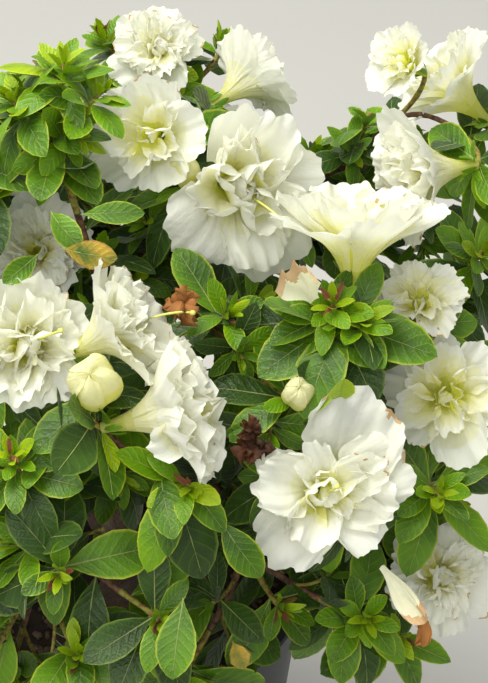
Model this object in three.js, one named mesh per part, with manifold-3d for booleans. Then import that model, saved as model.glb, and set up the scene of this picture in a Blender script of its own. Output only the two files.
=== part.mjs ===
// A white double azalea in its plastic nursery pot: the pot and its potting mix, a short forked stem,
// thirteen boughs, and the leafy, flowering mass that each bough carries.
// Millimetres, +Z up. The origin is the centre of the pot's flat underside, and the front faces -Y.
import * as THREE from "three";
import { mergeVertices } from "three/addons/utils/BufferGeometryUtils.js";
import Module from "manifold-3d";

const wasm = await Module();
wasm.setup();

// Pot: a thin-walled moulded pot with a turned-down rim and drain holes near the edge of its floor
const POT_HEIGHT = 165;
const POT_RIM_RADIUS = 83;
const POT_MOUTH_RADIUS = 79.5;
const POT_FOOT_RADIUS = 63;
const POT_WALL = 2;
const RIM_DROP = 13;
const POT_SIDES = 32;
const DRAIN_HOLES = 4;
const DRAIN_HOLE_RADIUS = 5;
const DRAIN_CIRCLE_RADIUS = 46;
const SOIL_LEVEL = 149;
const SOIL_MOUND = 3;
const GAP = 0.3;
const FINEST_STEP = 1e-3;

// Stem and boughs
const TRUNK_HEIGHT = 30;
const TRUNK_RADIUS = 7.2;
const TRUNK_TIP_RADIUS = 6;
const TRUNK_FLARE = 6;
const TRUNK_LEAN = [3, -2];
const BOUGH_BASE_RADIUS = 3.9;
const BOUGH_TIP_RADIUS = 2.3;
const BOUGH_REACH = 0.4;

// Crown: every shoot ends on, or near, a dome that is wider than it is deep
const CROWN_CENTRE = new THREE.Vector3(5, 0, 268);
const CROWN_HALF_WIDTH = 150;
const CROWN_HALF_DEPTH = 142;
const CROWN_RISE = 130;
const CROWN_DROP = 92;

// Heads that fill the crown beside those of the front. Their lowest height is a share of the dome's drop,
// their reach is between two shares of the dome, and flowers stay above an elevation
const GOLDEN_ANGLE = Math.PI * (3 - Math.sqrt(5));
const SPIRAL_SITES = 118;
const SPIRAL_LOWEST = -0.62;
const SPIRAL_REACH = [0.95, 1.07];
const SITE_SPACING = 36;
const BLOOM_CLEARANCE = 20;
const FLOWERING_SHARE = 0.45;
const FLOWERS_ABOVE = -12;
const BLOOM_WIDTHS = [50, 66];
const SHOOT_LENGTHS = [32, 40];

// Twigs: three-sided, tapering, each leaving another one at a fork
const STEM_LENGTH = 12;
const TWIG_RADIUS = 1.9;
const TWIG_TIP_RADIUS = 1.3;
const TWIG_STEPS = 2;
const FORK_SHARES = [0.3, 0.55];
const FORKS_TRIED = 5;
const TURNING_COST = 0.5;
const WAY_COST = 0.35;

// Leaves: whorls at the shoot tips, collars under the flowers, and single leaves below them. A tilt is the
// angle in degrees between a leaf and its shoot, from the lowest leaf of a whorl to the highest
const LEAF_LENGTH = 44;
const LEAF_WIDTH = 25;
const LEAF_THICKNESS = 1.5;
const LEAF_BEND = 0.16;
const LEAF_ROOT = 0.2;
const LEAF_STALK = 5;
const LEAF_SPACING = 1.5;
const LEAF_TURNS = [0, 0.7, -0.7];
const WHORL_LEAVES = 4;
const WHORL_TILTS = [80, 46];
const COLLAR_LEAVES = 2;
const COLLAR_TILTS = [84, 64];
const LEAVES_BELOW = [0.6];

// Flowers: depth as a share of the width, and how much wider a lobe is than a notch
const BLOOM_DEPTH = 0.62;
const BLOOM_LOBES = 5;
const LOBE_SWELL = 0.08;
const RUFFLE = 0.07;
const BUD_SLIMNESS = 1.5;
const SIZES_TRIED = [1, 0.85, 0.7];

// Each mass of foliage: its name, its azimuth and elevation on the crown in degrees (azimuth 0 is +X and
// -90 is the front), the bough that its own bough leaves, and where along that bough. With no parent, its
// bough leaves the trunk.
const MASSES = [
  ["top", -60, 82, null, 1],
  ["front_low", -98, 6, null, 0.62],
  ["right_front", -22, 18, null, 0.78],
  ["back_upper", 82, 46, null, 0.66],
  ["left_upper", 168, 40, null, 0.82],
  ["front_upper", -92, 46, "front_low", 0.42],
  ["centre", -44, 46, "right_front", 0.4],
  ["front_right_low", -55, -4, "right_front", 0.62],
  ["right_back_upper", 28, 42, "back_upper", 0.36],
  ["left_low", -154, 7, "left_upper", 0.4],
  ["back_left_low", 136, 0, "left_upper", 0.62],
  ["back_right_low", 66, -6, "back_upper", 0.6],
  ["right_low", 12, -4, "right_front", 0.84],
];

// Flower heads of the front: azimuth, elevation and reach on the crown, the azimuth and elevation that the
// flower faces, its width in millimetres, and the mass that carries it
const FRONT_BLOOMS = [
  [-58, 22, 1.07, -88, 40, 64, "front_right_low"],
  [-38, -9, 1.08, -78, 42, 50, "front_right_low"],
  [-32, 25, 1.07, -100, 42, 49, "right_front"],
  [-24, 39, 1.08, -92, 72, 36, "centre"],
  [-27, 55, 1.17, 85, 68, 62, "centre"],
  [-34, 67, 1.02, -68, 24, 68, "centre"],
  [76, 69, 1.1, -105, 50, 42, "back_upper"],
  [-60, 81, 1.08, -110, 30, 44, "top"],
  [46, 60, 1.08, 40, 14, 46, "back_upper"],
  [30, 42, 1.3, 168, 40, 54, "right_back_upper"],
  [-7, 51, 1.14, -159, 4, 54, "right_back_upper"],
  [23, 53, 1.3, -150, 40, 32, "right_back_upper"],
  [-104, 48, 1.07, -75, 40, 52, "front_upper"],
  [-83, 52, 1.08, 5, 31, 52, "front_upper"],
  [-75, 39, 1.09, 0, 16, 56, "front_upper"],
  [-130, 68, 0.8, -92, 46, 48, "front_upper"],
];
// Closed buds of the front, in the same columns, with the bud's own width
const FRONT_BUDS = [
  [-91, 43, 1.1, -100, 56, 21, "front_upper"],
  [-55, 36, 0.98, -80, 60, 13, "centre"],
  [-40, 76, 0.98, -100, 70, 13, "top"],
];
// Leafy shoot tips of the front, in the same columns, with the length of their longest leaves
const FRONT_SHOOTS = [
  [-123, 78, 1.22, -100, 80, 36, "front_upper"],
  [-145, 71, 1.1, -150, 70, 34, "left_upper"],
  [-40, 41, 1.08, -90, 58, 40, "centre"],
  [-43, 46, 1.07, -100, 62, 34, "centre"],
  [-28, 34, 1.1, -60, 64, 32, "right_front"],
  [-40, 12, 1.08, -76, 54, 36, "right_front"],
  [-77, 27, 1.04, -92, 52, 42, "front_upper"],
  [-104, 32, 1.05, -100, 62, 30, "front_low"],
  [-96, 15, 1.04, -92, 34, 38, "front_low"],
  [-94, -2, 1.04, -88, 66, 34, "front_low"],
  [-83, 6, 1.03, -84, 42, 42, "front_low"],
  [-52, -9, 1.06, -80, 50, 34, "front_right_low"],
  [-45, -20, 1.12, -70, 70, 30, "front_right_low"],
  [10, 76, 0.96, -120, 60, 32, "top"],
  [66, 54, 1.08, 40, 70, 30, "back_upper"],
  [96, 54, 1.1, 150, 60, 32, "back_upper"],
  [6, 26, 1.08, -40, 48, 34, "right_low"],
  [26, 34, 1.1, -120, 40, 34, "right_back_upper"],
  [32, 44, 1.1, 120, 60, 30, "right_back_upper"],
  [-60, -16, 0.86, -60, 30, 36, "front_right_low"],
  [-58, 52, 0.86, -50, 50, 38, "centre"],
];
// Where the photographed side ends, as azimuths: between them the spiral adds only leafy shoots
const FRONT_FROM = -118;
const FRONT_TO = 64;
// Gaps in the crown that show what lies behind, as azimuth, elevation and half width in degrees
const CROWN_GAPS = [
  [45, 62, 10],
  [-68, -20, 13],
];

const UP = new THREE.Vector3(0, 0, 1);
const { degToRad, radToDeg } = THREE.MathUtils;

// A repeatable share from 0 to 1 for any few whole numbers
function chance(...keys) {
  let h = 2166136261;
  for (const key of keys) {
    h = Math.imul(h ^ key, 16777619);
    h ^= h >>> 13;
    h = Math.imul(h, 1540483477);
    h ^= h >>> 15;
  }
  return (h >>> 0) / 4294967296;
}

function between([from, to], share) {
  return from + (to - from) * share;
}

function direction(azimuth, elevation) {
  const [a, e] = [degToRad(azimuth), degToRad(elevation)];
  return new THREE.Vector3(Math.cos(e) * Math.cos(a), Math.cos(e) * Math.sin(a), Math.sin(e));
}

function onCrown(azimuth, elevation, reach) {
  const out = direction(azimuth, elevation);
  const height = out.z > 0 ? CROWN_RISE : CROWN_DROP;
  return new THREE.Vector3(out.x * CROWN_HALF_WIDTH, out.y * CROWN_HALF_DEPTH, out.z * height)
    .multiplyScalar(reach)
    .add(CROWN_CENTRE);
}

// From three.js geometry to a closed manifold-3d solid, and back again
function solidOf(geometry) {
  const bare = geometry.clone();
  bare.deleteAttribute("normal");
  bare.deleteAttribute("uv");
  const merged = mergeVertices(bare, 1e-4);
  return new wasm.Manifold(
    new wasm.Mesh({
      numProp: 3,
      vertProperties: new Float32Array(merged.attributes.position.array),
      triVerts: new Uint32Array(merged.index.array),
    }),
  );
}

function bareGeometry({ vertProperties, triVerts }) {
  const geometry = new THREE.BufferGeometry();
  geometry.setAttribute("position", new THREE.BufferAttribute(vertProperties, 3));
  geometry.setIndex(new THREE.BufferAttribute(triVerts, 1));
  return geometry;
}

function geometryOf(solid) {
  const geometry = bareGeometry(solid.getMesh());
  geometry.computeVertexNormals();
  return geometry;
}

// The main body of a solid, without loose scraps or sealed hollows
function mainBody(solid) {
  return solid.decompose().reduce((most, body) => (body.volume() > most.volume() ? body : most));
}

// Moves every corner of a geometry to the place that a function gives for it
function shape(geometry, placeOf) {
  const corners = geometry.attributes.position;
  for (let i = 0; i < corners.count; i++) {
    const place = placeOf(corners.getX(i), corners.getY(i), corners.getZ(i));
    corners.setXYZ(i, place.x, place.y, place.z);
  }
  return geometry;
}

// Two directions square to a third, and to each other
function across(along, towards) {
  const helper = Math.abs(along.dot(towards)) > 0.96 ? new THREE.Vector3(0.6, 0.8, 0) : towards;
  const side = new THREE.Vector3().crossVectors(helper, along).normalize();
  return [side, new THREE.Vector3().crossVectors(along, side).normalize()];
}

// One tapering limb along a curve: a capped cylinder whose rings are laid along it
function limb(curve, radiusAt, sides, steps) {
  return shape(new THREE.CylinderGeometry(1, 1, 1, sides, steps), (x, y, z) => {
    const share = y + 0.5;
    const [side, lift] = across(curve.getTangent(share), new THREE.Vector3(1, 0, 0));
    const radius = radiusAt(share);
    return curve
      .getPoint(share)
      .addScaledVector(side, z * radius)
      .addScaledVector(lift, x * radius);
  });
}

// A leaf: a thin eight-faced blade, which rises from its root and bends down to its tip
function leafBlade({ root, along, face, length }, extra) {
  const [side, lift] = across(along, face);
  const width = (LEAF_WIDTH * length) / LEAF_LENGTH + extra;
  const thickness = LEAF_THICKNESS + extra;
  return shape(new THREE.SphereGeometry(1, 4, 2), (x, y, z) => {
    const share = (x + 1) / 2;
    const bend = LEAF_BEND * length * (share - 1.7 * share * share);
    return root
      .clone()
      .addScaledVector(along, (length + extra) * share)
      .addScaledVector(side, (-z * width) / 2)
      .addScaledVector(lift, bend + (y * thickness) / 2);
  });
}

// A double bloom: a tube that opens into five ruffled lobes, with a raised tuft in its middle
function bloom({ at, face, size }, extra) {
  const depth = size * BLOOM_DEPTH;
  const radius = size / 2 + extra;
  const outline = [
    [0, -depth - 1],
    [0.32 * radius, -0.45 * depth],
    [radius, 0],
    [0.36 * radius, -0.16 * depth],
    [0, 0.1 * radius],
  ].map(([r, y]) => new THREE.Vector2(r, y));
  const [side, lift] = across(face, UP);
  return shape(new THREE.LatheGeometry(outline, 2 * BLOOM_LOBES), (x, y, z) => {
    const r = Math.hypot(x, z);
    const around = Math.atan2(z, x);
    const rim = Math.max(0, (2 * r) / radius - 1);
    const lobe = 1 + LOBE_SWELL * rim * Math.cos(BLOOM_LOBES * around);
    const ruffle = RUFFLE * size * rim * Math.cos(2 * around);
    return at
      .clone()
      .addScaledVector(side, r * lobe * Math.sin(around))
      .addScaledVector(lift, r * lobe * Math.cos(around))
      .addScaledVector(face, y + ruffle);
  });
}

function bud({ at, face, size }, extra) {
  const [side, lift] = across(face, UP);
  return shape(new THREE.SphereGeometry(0.5, 6, 4), (x, y, z) =>
    at
      .clone()
      .addScaledVector(lift, x * (size + extra))
      .addScaledVector(side, z * (size + extra))
      .addScaledVector(face, y * size * BUD_SLIMNESS),
  );
}

// The end of the twig that carries a head: under a bloom or a bud, or the foot of a leafy tip
function footOf({ kind, at, face, size }) {
  const depth = { bloom: size * BLOOM_DEPTH, bud: (size * BUD_SLIMNESS) / 2 - 2, shoot: 0 }[kind];
  return at.clone().addScaledVector(face, -depth);
}

function headOf(kind, [azimuth, elevation, reach, faceAzimuth, faceElevation, size, mass]) {
  const face = direction(faceAzimuth, faceElevation);
  return { kind, at: onCrown(azimuth, elevation, reach), face, size, mass };
}

function nearestMass(azimuth, elevation) {
  const out = direction(azimuth, elevation);
  const nearness = ([, a, e]) => direction(a, e).dot(out);
  return MASSES.reduce((best, mass) => (nearness(mass) > nearness(best) ? mass : best))[0];
}

// Fills the rest of the crown: heads on a golden spiral, wherever the front's own leave room
function withSpiral(heads) {
  const all = [...heads];
  for (let i = 0; i < SPIRAL_SITES; i++) {
    const height = 1 - ((i + 0.5) / SPIRAL_SITES) * (1 - SPIRAL_LOWEST);
    const elevation = radToDeg(Math.asin(height));
    const azimuth = THREE.MathUtils.euclideanModulo(radToDeg(i * GOLDEN_ANGLE) + 180, 360) - 180;
    const at = onCrown(azimuth, elevation, between(SPIRAL_REACH, chance(i, 1)));
    const inGap = CROWN_GAPS.some(
      ([a, e, half]) => direction(a, e).angleTo(direction(azimuth, elevation)) < degToRad(half),
    );
    const crowded = all.some(({ kind, size, at: other }) => {
      const room = kind === "bloom" ? size / 2 + BLOOM_CLEARANCE : SITE_SPACING;
      return other.distanceTo(at) < room;
    });
    if (inGap || crowded) continue;
    const front = azimuth > FRONT_FROM && azimuth < FRONT_TO;
    const kind = !front && elevation > FLOWERS_ABOVE && chance(i, 2) < FLOWERING_SHARE ? "bloom" : "shoot";
    const face = direction(azimuth + between([-25, 25], chance(i, 3)), 24 + 0.6 * elevation);
    const size = between(kind === "bloom" ? BLOOM_WIDTHS : SHOOT_LENGTHS, chance(i, 4));
    all.push({ kind, at, face, size, mass: nearestMass(azimuth, elevation) });
  }
  return all;
}

// A solid with more pieces fused on, if it is still one closed body once a file rounds its corners
function fuse(solid, pieces) {
  const sum = wasm.Manifold.union([solid, ...pieces]);
  return sum.decompose().length === 1 && staysClosed(sum) ? sum : undefined;
}

function staysClosed(solid) {
  const rounded = mergeVertices(bareGeometry(solid.getMesh()), FINEST_STEP);
  const corners = rounded.index.array;
  const count = rounded.attributes.position.count;
  const facesAt = new Map();
  for (let t = 0; t < corners.length; t += 3) {
    const ring = [corners[t], corners[t + 1], corners[t + 2]];
    if (new Set(ring).size < 3) continue;
    for (const [k, from] of ring.entries()) {
      const to = ring[(k + 1) % 3];
      const edge = Math.min(from, to) * count + Math.max(from, to);
      facesAt.set(edge, (facesAt.get(edge) ?? 0) + 1);
    }
  }
  return [...facesAt.values()].every((faces) => faces === 2);
}

function touches(solid, others) {
  return others.some((other) => !solid.intersect(other).isEmpty());
}

// Twigs branch from one stem. Each head, nearest first, joins a twig by the shortest way that is free
function growTwigs(start, along, heads, obstacles) {
  const stemEnd = start.clone().addScaledVector(along, STEM_LENGTH);
  const stemRadiusAt = (share) => between([BOUGH_TIP_RADIUS, TWIG_RADIUS], share);
  const stem = limb(new THREE.LineCurve3(start, stemEnd), stemRadiusAt, 3, 1);
  const mass = { solid: solidOf(stem), twigs: [] };
  const forks = [{ at: start.clone().lerp(stemEnd, 0.8), along, way: 0, radius: TWIG_RADIUS }];
  const byDistance = [...heads].sort((a, b) => footOf(a).distanceTo(start) - footOf(b).distanceTo(start));
  for (const head of byDistance) {
    const flower = flowerOf(head, obstacles);
    const twig = flower && freeTwig(mass, forks, flower, obstacles);
    if (!twig) continue;
    mass.solid = twig.sum;
    mass.twigs.push({ ...twig, head });
    forks.push(...FORK_SHARES.map((share) => forkOn(twig, share)));
  }
  return mass;
}

// A flower that would touch a limb or another mass is made smaller, or left out
function flowerOf(head, obstacles) {
  const made = { bloom, bud }[head.kind];
  if (!made) return { ...head, solids: [] };
  const shrink = SIZES_TRIED.find((share) => {
    const swollen = solidOf(made({ ...head, size: head.size * share }, 2 * GAP));
    return !touches(swollen, obstacles);
  });
  if (!shrink) return undefined;
  const flower = { ...head, size: head.size * shrink };
  return { ...flower, solids: [solidOf(made(flower, 0))] };
}

// A point on a twig's axis, which is straight from ring to ring
function onTwig(curve, share) {
  const ring = Math.min(TWIG_STEPS - 1, Math.floor(share * TWIG_STEPS));
  const [before, after] = [curve.getPoint(ring / TWIG_STEPS), curve.getPoint((ring + 1) / TWIG_STEPS)];
  return before.lerp(after, share * TWIG_STEPS - ring);
}

function forkOn({ curve, span, from }, share) {
  return {
    at: onTwig(curve, share),
    along: curve.getTangent(share),
    way: from.way + share * span,
    radius: Math.max(TWIG_TIP_RADIUS, 0.8 * from.radius),
  };
}

// A twig from the cheapest fork whose way to the foot is free: short, with little turning, near the stem
function freeTwig({ solid }, forks, flower, obstacles) {
  const foot = footOf(flower);
  const costFrom = (fork) => {
    const step = foot.clone().sub(fork.at);
    const turn = 1 - step.clone().normalize().dot(fork.along);
    return step.length() * (1 + TURNING_COST * turn) + WAY_COST * fork.way;
  };
  for (const from of [...forks].sort((a, b) => costFrom(a) - costFrom(b)).slice(0, FORKS_TRIED)) {
    const span = from.at.distanceTo(foot);
    const arriving = foot.clone().sub(from.at).normalize().add(flower.face).normalize();
    const curve = new THREE.CubicBezierCurve3(
      from.at,
      from.at.clone().addScaledVector(from.along, 0.3 * span),
      foot.clone().addScaledVector(arriving, -0.32 * span),
      foot,
    );
    const radiusAt = (share) => between([from.radius, TWIG_TIP_RADIUS], share);
    const twig = (extra) => solidOf(limb(curve, (share) => radiusAt(share) + extra, 3, TWIG_STEPS));
    const sum = touches(twig(2 * GAP), obstacles) ? undefined : fuse(solid, [twig(0), ...flower.solids]);
    if (sum) return { curve, span, from, sum };
  }
  return undefined;
}

// The leaves of one twig: a whorl at its end, wide below and steeper above, and a few on its way there
function leavesOf({ curve, span, head }, number) {
  const shoot = head.kind === "shoot";
  const count = shoot ? WHORL_LEAVES : COLLAR_LEAVES;
  const longest = shoot ? 1.15 * head.size : 0.9 * LEAF_LENGTH;
  const [side, lift] = across(head.face, UP);
  const leafAt = (share, along, face, length) => {
    const root = onTwig(curve, share).addScaledVector(along, -LEAF_ROOT);
    return { root, along, face, length };
  };
  const whorl = Array.from({ length: count }, (_, k) => {
    const around = k * GOLDEN_ANGLE + 2 * Math.PI * chance(number, 5);
    const tilt = degToRad(between(shoot ? WHORL_TILTS : COLLAR_TILTS, k / count));
    const outward = side.clone().multiplyScalar(Math.cos(around)).addScaledVector(lift, Math.sin(around));
    const along = head.face.clone().multiplyScalar(Math.cos(tilt)).addScaledVector(outward, Math.sin(tilt));
    return leafAt(1 - (1 + LEAF_SPACING * (count - k)) / span, along, head.face, longest * (1 - 0.05 * k));
  });
  const below = LEAVES_BELOW.map((share, k) => {
    const tangent = curve.getTangent(share);
    const [out, over] = across(tangent, UP);
    const around = 2 * Math.PI * chance(number, k, 9);
    out.multiplyScalar(Math.cos(around)).addScaledVector(over, Math.sin(around));
    return leafAt(share, out.addScaledVector(tangent, 0.6).normalize(), UP, LEAF_LENGTH);
  });
  return [...whorl, ...below];
}

// A mass's own space is all that lies nearer to its own heads than to those of any other mass
function isOwn(place, mass, heads) {
  const room = (head) => place.distanceTo(head.at) - (head.kind === "bloom" ? 0.5 : 0.3) * head.size;
  const nearest = (own) => Math.min(...heads.filter((head) => (head.mass === mass) === own).map(room));
  return nearest(true) < nearest(false) - GAP;
}

// Fuses leaves that stay in the mass's own space, clear of every limb and of the other masses, and that
// cross nothing of their own mass beyond their stalks. A leaf that isn't free is turned about its twig
function addLeaves(mass, heads, obstacles) {
  const isFree = (leaf) => {
    const { root, along, length } = leaf;
    const stalkEnd = root.clone().addScaledVector(along, LEAF_STALK);
    const past = { ...leaf, root: stalkEnd, length: length - LEAF_STALK };
    return (
      isOwn(root.clone().addScaledVector(along, length), mass.name, heads) &&
      !touches(solidOf(leafBlade(leaf, 2 * GAP)), obstacles) &&
      !touches(solidOf(leafBlade(past, 0)), [mass.solid])
    );
  };
  for (const twig of mass.twigs)
    for (const leaf of leavesOf(twig, heads.indexOf(twig.head)))
      for (const turn of LEAF_TURNS) {
        const turned = { ...leaf, along: leaf.along.clone().applyAxisAngle(twig.head.face, turn) };
        const sum = isFree(turned) && fuse(mass.solid, [solidOf(leafBlade(turned, 0))]);
        if (!sum) continue;
        mass.solid = sum;
        break;
      }
}

// The pot, whose profile runs up the outside, over the turned-down rim and down the inside
function potSolid() {
  const lip = POT_RIM_RADIUS - 1.5;
  const outline = [
    [0, 0],
    [POT_FOOT_RADIUS - 1, 0],
    [POT_FOOT_RADIUS, 1.5],
    [POT_MOUTH_RADIUS, POT_HEIGHT - RIM_DROP],
    [lip, POT_HEIGHT - RIM_DROP],
    [POT_RIM_RADIUS, POT_HEIGHT - 1],
    [POT_RIM_RADIUS - 1, POT_HEIGHT],
    [POT_MOUTH_RADIUS - POT_WALL + 1, POT_HEIGHT],
    [POT_MOUTH_RADIUS - POT_WALL, POT_HEIGHT - 1],
    [POT_FOOT_RADIUS - POT_WALL, POT_WALL],
    [0, POT_WALL],
  ].map(([r, z]) => new THREE.Vector2(r, z));
  const body = solidOf(new THREE.LatheGeometry(outline, POT_SIDES).rotateX(Math.PI / 2));
  const holes = Array.from({ length: DRAIN_HOLES }, (_, i) => {
    const turn = (2 * Math.PI * i) / DRAIN_HOLES;
    return solidOf(
      new THREE.CylinderGeometry(DRAIN_HOLE_RADIUS, DRAIN_HOLE_RADIUS, 6 * POT_WALL, 8)
        .rotateX(Math.PI / 2)
        .translate(DRAIN_CIRCLE_RADIUS * Math.cos(turn), DRAIN_CIRCLE_RADIUS * Math.sin(turn), 0),
    );
  });
  return body.subtract(wasm.Manifold.union(holes));
}

// The potting mix fills the pot to a little under its rim, and is level round the stem's foot
function soilSolid() {
  const insideAt = (z) => {
    const rise = (z - POT_WALL) / (POT_HEIGHT - POT_WALL);
    return POT_FOOT_RADIUS + (POT_MOUTH_RADIUS - POT_FOOT_RADIUS) * rise - POT_WALL - 2 * GAP;
  };
  const floor = POT_WALL + GAP;
  const outline = [
    [0, floor],
    [insideAt(floor), floor],
    [insideAt(SOIL_LEVEL), SOIL_LEVEL],
    [2.5 * (TRUNK_RADIUS + TRUNK_FLARE), SOIL_LEVEL + SOIL_MOUND],
    [0, SOIL_LEVEL + SOIL_MOUND],
  ].map(([r, z]) => new THREE.Vector2(r, z));
  return solidOf(new THREE.LatheGeometry(outline, POT_SIDES).rotateX(Math.PI / 2));
}

const trunkFoot = new THREE.Vector3(0, 0, SOIL_LEVEL + SOIL_MOUND + GAP);
const trunkTip = new THREE.Vector3(...TRUNK_LEAN, trunkFoot.z + TRUNK_HEIGHT);
const trunkCurve = new THREE.QuadraticBezierCurve3(
  trunkFoot,
  new THREE.Vector3(0, 0, trunkFoot.z + TRUNK_HEIGHT / 2),
  trunkTip,
);
const trunkRadiusAt = (share) =>
  between([TRUNK_RADIUS, TRUNK_TIP_RADIUS], share) + TRUNK_FLARE * (1 - share) ** 5;

// Every bough leaves the trunk's flank, or its parent bough, low and outward, and turns up to its mass
function boughCurves() {
  const curves = {};
  for (const [name, azimuth, elevation, parent, leaves] of MASSES) {
    const tip = onCrown(azimuth, elevation, BOUGH_REACH);
    const outward = direction(azimuth, 0);
    let start = (parent ? curves[parent] : trunkCurve).getPoint(leaves);
    if (!parent && leaves < 1) start.addScaledVector(outward, TRUNK_RADIUS - BOUGH_BASE_RADIUS / 2);
    if (leaves === 1) start.z += GAP;
    const rise = tip.clone().sub(start);
    const bend = start
      .clone()
      .addScaledVector(new THREE.Vector3(rise.x, rise.y, 0), leaves === 1 ? 0.1 : 0.55)
      .addScaledVector(UP, 0.35 * rise.z);
    curves[name] = new THREE.QuadraticBezierCurve3(start, bend, tip);
  }
  return curves;
}

const boughRadiusAt = (share) => between([BOUGH_BASE_RADIUS, BOUGH_TIP_RADIUS], share);

// Each bough is cut clear of the trunk and of the boughs made before it, so that it starts on their skin
function boughSolids(curves) {
  const grown = [solidOf(limb(trunkCurve, (share) => trunkRadiusAt(share) + GAP, 12, 6))];
  const solids = {};
  for (const [name, curve] of Object.entries(curves)) {
    const whole = solidOf(limb(curve, boughRadiusAt, 6, 4));
    solids[name] = mainBody(whole.subtract(wasm.Manifold.union(grown)));
    grown.push(solidOf(limb(curve, (share) => boughRadiusAt(share) + GAP, 6, 4)));
  }
  return solids;
}

const materials = {
  pot: new THREE.MeshStandardMaterial({ color: "#2b2c2e", roughness: 0.55, metalness: 0 }),
  soil: new THREE.MeshStandardMaterial({ color: "#2a2019", roughness: 0.95, metalness: 0 }),
  bark: new THREE.MeshStandardMaterial({ color: "#5b4432", roughness: 0.9, metalness: 0 }),
  foliage: new THREE.MeshStandardMaterial({ color: "#4b6b2a", roughness: 0.6, metalness: 0 }),
};

const azalea = new THREE.Group();

function add(name, solid, material) {
  const mesh = new THREE.Mesh(geometryOf(solid), materials[material]);
  mesh.name = name;
  azalea.add(mesh);
}

const curves = boughCurves();
const boughs = boughSolids(curves);
const pot = potSolid();
const soil = soilSolid();
const trunk = solidOf(limb(trunkCurve, trunkRadiusAt, 12, 6));
add("pot", pot, "pot");
add("soil", soil, "soil");
add("trunk", trunk, "bark");
for (const [name, solid] of Object.entries(boughs)) add(`bough_${name}`, solid, "bark");

const heads = withSpiral([
  ...FRONT_BLOOMS.map((row) => headOf("bloom", row)),
  ...FRONT_BUDS.map((row) => headOf("bud", row)),
  ...FRONT_SHOOTS.map((row) => headOf("shoot", row)),
]);
const limbs = [pot, soil, trunk, ...Object.values(boughs)];
const masses = [];
for (const [name] of MASSES) {
  const along = curves[name].getTangent(1);
  const start = curves[name].getPoint(1).addScaledVector(along, GAP);
  const own = heads.filter((head) => head.mass === name);
  masses.push({ name, ...growTwigs(start, along, own, [...limbs, ...masses.map((mass) => mass.solid)]) });
}
for (const mass of masses) {
  const others = masses.filter((other) => other !== mass).map((other) => other.solid);
  addLeaves(mass, heads, [...limbs, ...others]);
  add(`foliage_${mass.name}`, mass.solid, "foliage");
}

export default azalea;
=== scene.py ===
import math
from collections import namedtuple

import bmesh
import bpy
import numpy as np
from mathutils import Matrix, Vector, noise
from mathutils.kdtree import KDTree


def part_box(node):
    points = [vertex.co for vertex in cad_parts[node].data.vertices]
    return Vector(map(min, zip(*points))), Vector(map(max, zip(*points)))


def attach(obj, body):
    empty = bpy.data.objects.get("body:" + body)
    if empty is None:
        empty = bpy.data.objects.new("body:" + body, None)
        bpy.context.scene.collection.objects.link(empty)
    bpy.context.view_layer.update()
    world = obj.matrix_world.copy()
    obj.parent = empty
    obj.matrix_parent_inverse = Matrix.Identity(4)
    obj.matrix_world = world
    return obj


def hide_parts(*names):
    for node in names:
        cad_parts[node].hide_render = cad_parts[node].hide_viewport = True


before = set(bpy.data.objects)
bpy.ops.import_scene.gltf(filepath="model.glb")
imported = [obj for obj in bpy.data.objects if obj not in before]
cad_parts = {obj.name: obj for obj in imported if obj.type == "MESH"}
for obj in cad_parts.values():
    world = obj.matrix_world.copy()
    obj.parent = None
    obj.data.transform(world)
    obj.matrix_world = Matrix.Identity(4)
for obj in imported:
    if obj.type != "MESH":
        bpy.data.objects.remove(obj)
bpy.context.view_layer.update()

scene = bpy.context.scene

# Camera. It stands in front of the shrub, looks down into the crown, and aims a little right of the stem.
# A long lens from close by gives the tight view of a plant portrait.
AIM = Vector((0.054, 0.0, 0.295))
CAMERA_DISTANCE = 0.85
LOOKING_DOWN = math.radians(38)
LENS_MM = 110

to_camera = Vector((0, -math.cos(LOOKING_DOWN), math.sin(LOOKING_DOWN)))
camera = bpy.data.objects.new("camera", bpy.data.cameras.new("camera"))
camera.data.lens = LENS_MM
camera.location = AIM + to_camera * CAMERA_DISTANCE
camera.rotation_euler = (-to_camera).to_track_quat("-Z", "Y").to_euler()
scene.collection.objects.link(camera)
scene.camera = camera
scene.view_settings.view_transform = "Standard"

# Floor and light. A plain pale floor under the pot, a bright grey sky all round, a wide lamp high on the
# left and a weaker one a little lower in front, as on an overcast day. None of it is part of the shrub.
FLOOR_HALF = 30.0
SKY_STRENGTH = 0.61
LIT_PLACE = Vector((0.0, 0.0, 0.3))
# Each lamp's name, place, width, power in watts and colour
LAMPS = [
    ("wide_lamp", (-0.4, 0.12, 1.7), 1.2, 30, "fffef3"),
    ("fill_lamp", (-0.4, -1.3, 1.4), 1.4, 12, "fffffa"),
]


def linear(hex_colour):
    """An sRGB hex colour, such as "f4f0e2", as the linear colour with alpha that a shader takes."""
    shares = [int(hex_colour[i : i + 2], 16) / 255 for i in (0, 2, 4)]
    return (*[s / 12.92 if s <= 0.04045 else ((s + 0.055) / 1.055) ** 2.4 for s in shares], 1.0)


def add_node(tree, kind, inputs, **settings):
    """Adds one node. Each named or numbered input takes a value, a hex colour, a socket or another node."""
    node = tree.nodes.new("ShaderNode" + kind)
    for name, value in settings.items():
        setattr(node, name, value)
    for name, value in inputs.items():
        if isinstance(value, bpy.types.Node):
            value = next(socket for socket in value.outputs if socket.enabled)
        if isinstance(value, bpy.types.NodeSocket):
            tree.links.new(value, node.inputs[name])
        else:
            node.inputs[name].default_value = linear(value) if isinstance(value, str) else value
    return node


def new_material(name):
    """An empty node material, its tree, and the texture coordinates that its patterns follow."""
    material = bpy.data.materials.new(name)
    material.use_nodes = True
    material.node_tree.nodes.clear()
    return material, material.node_tree, add_node(material.node_tree, "TexCoord", {}).outputs


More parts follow.
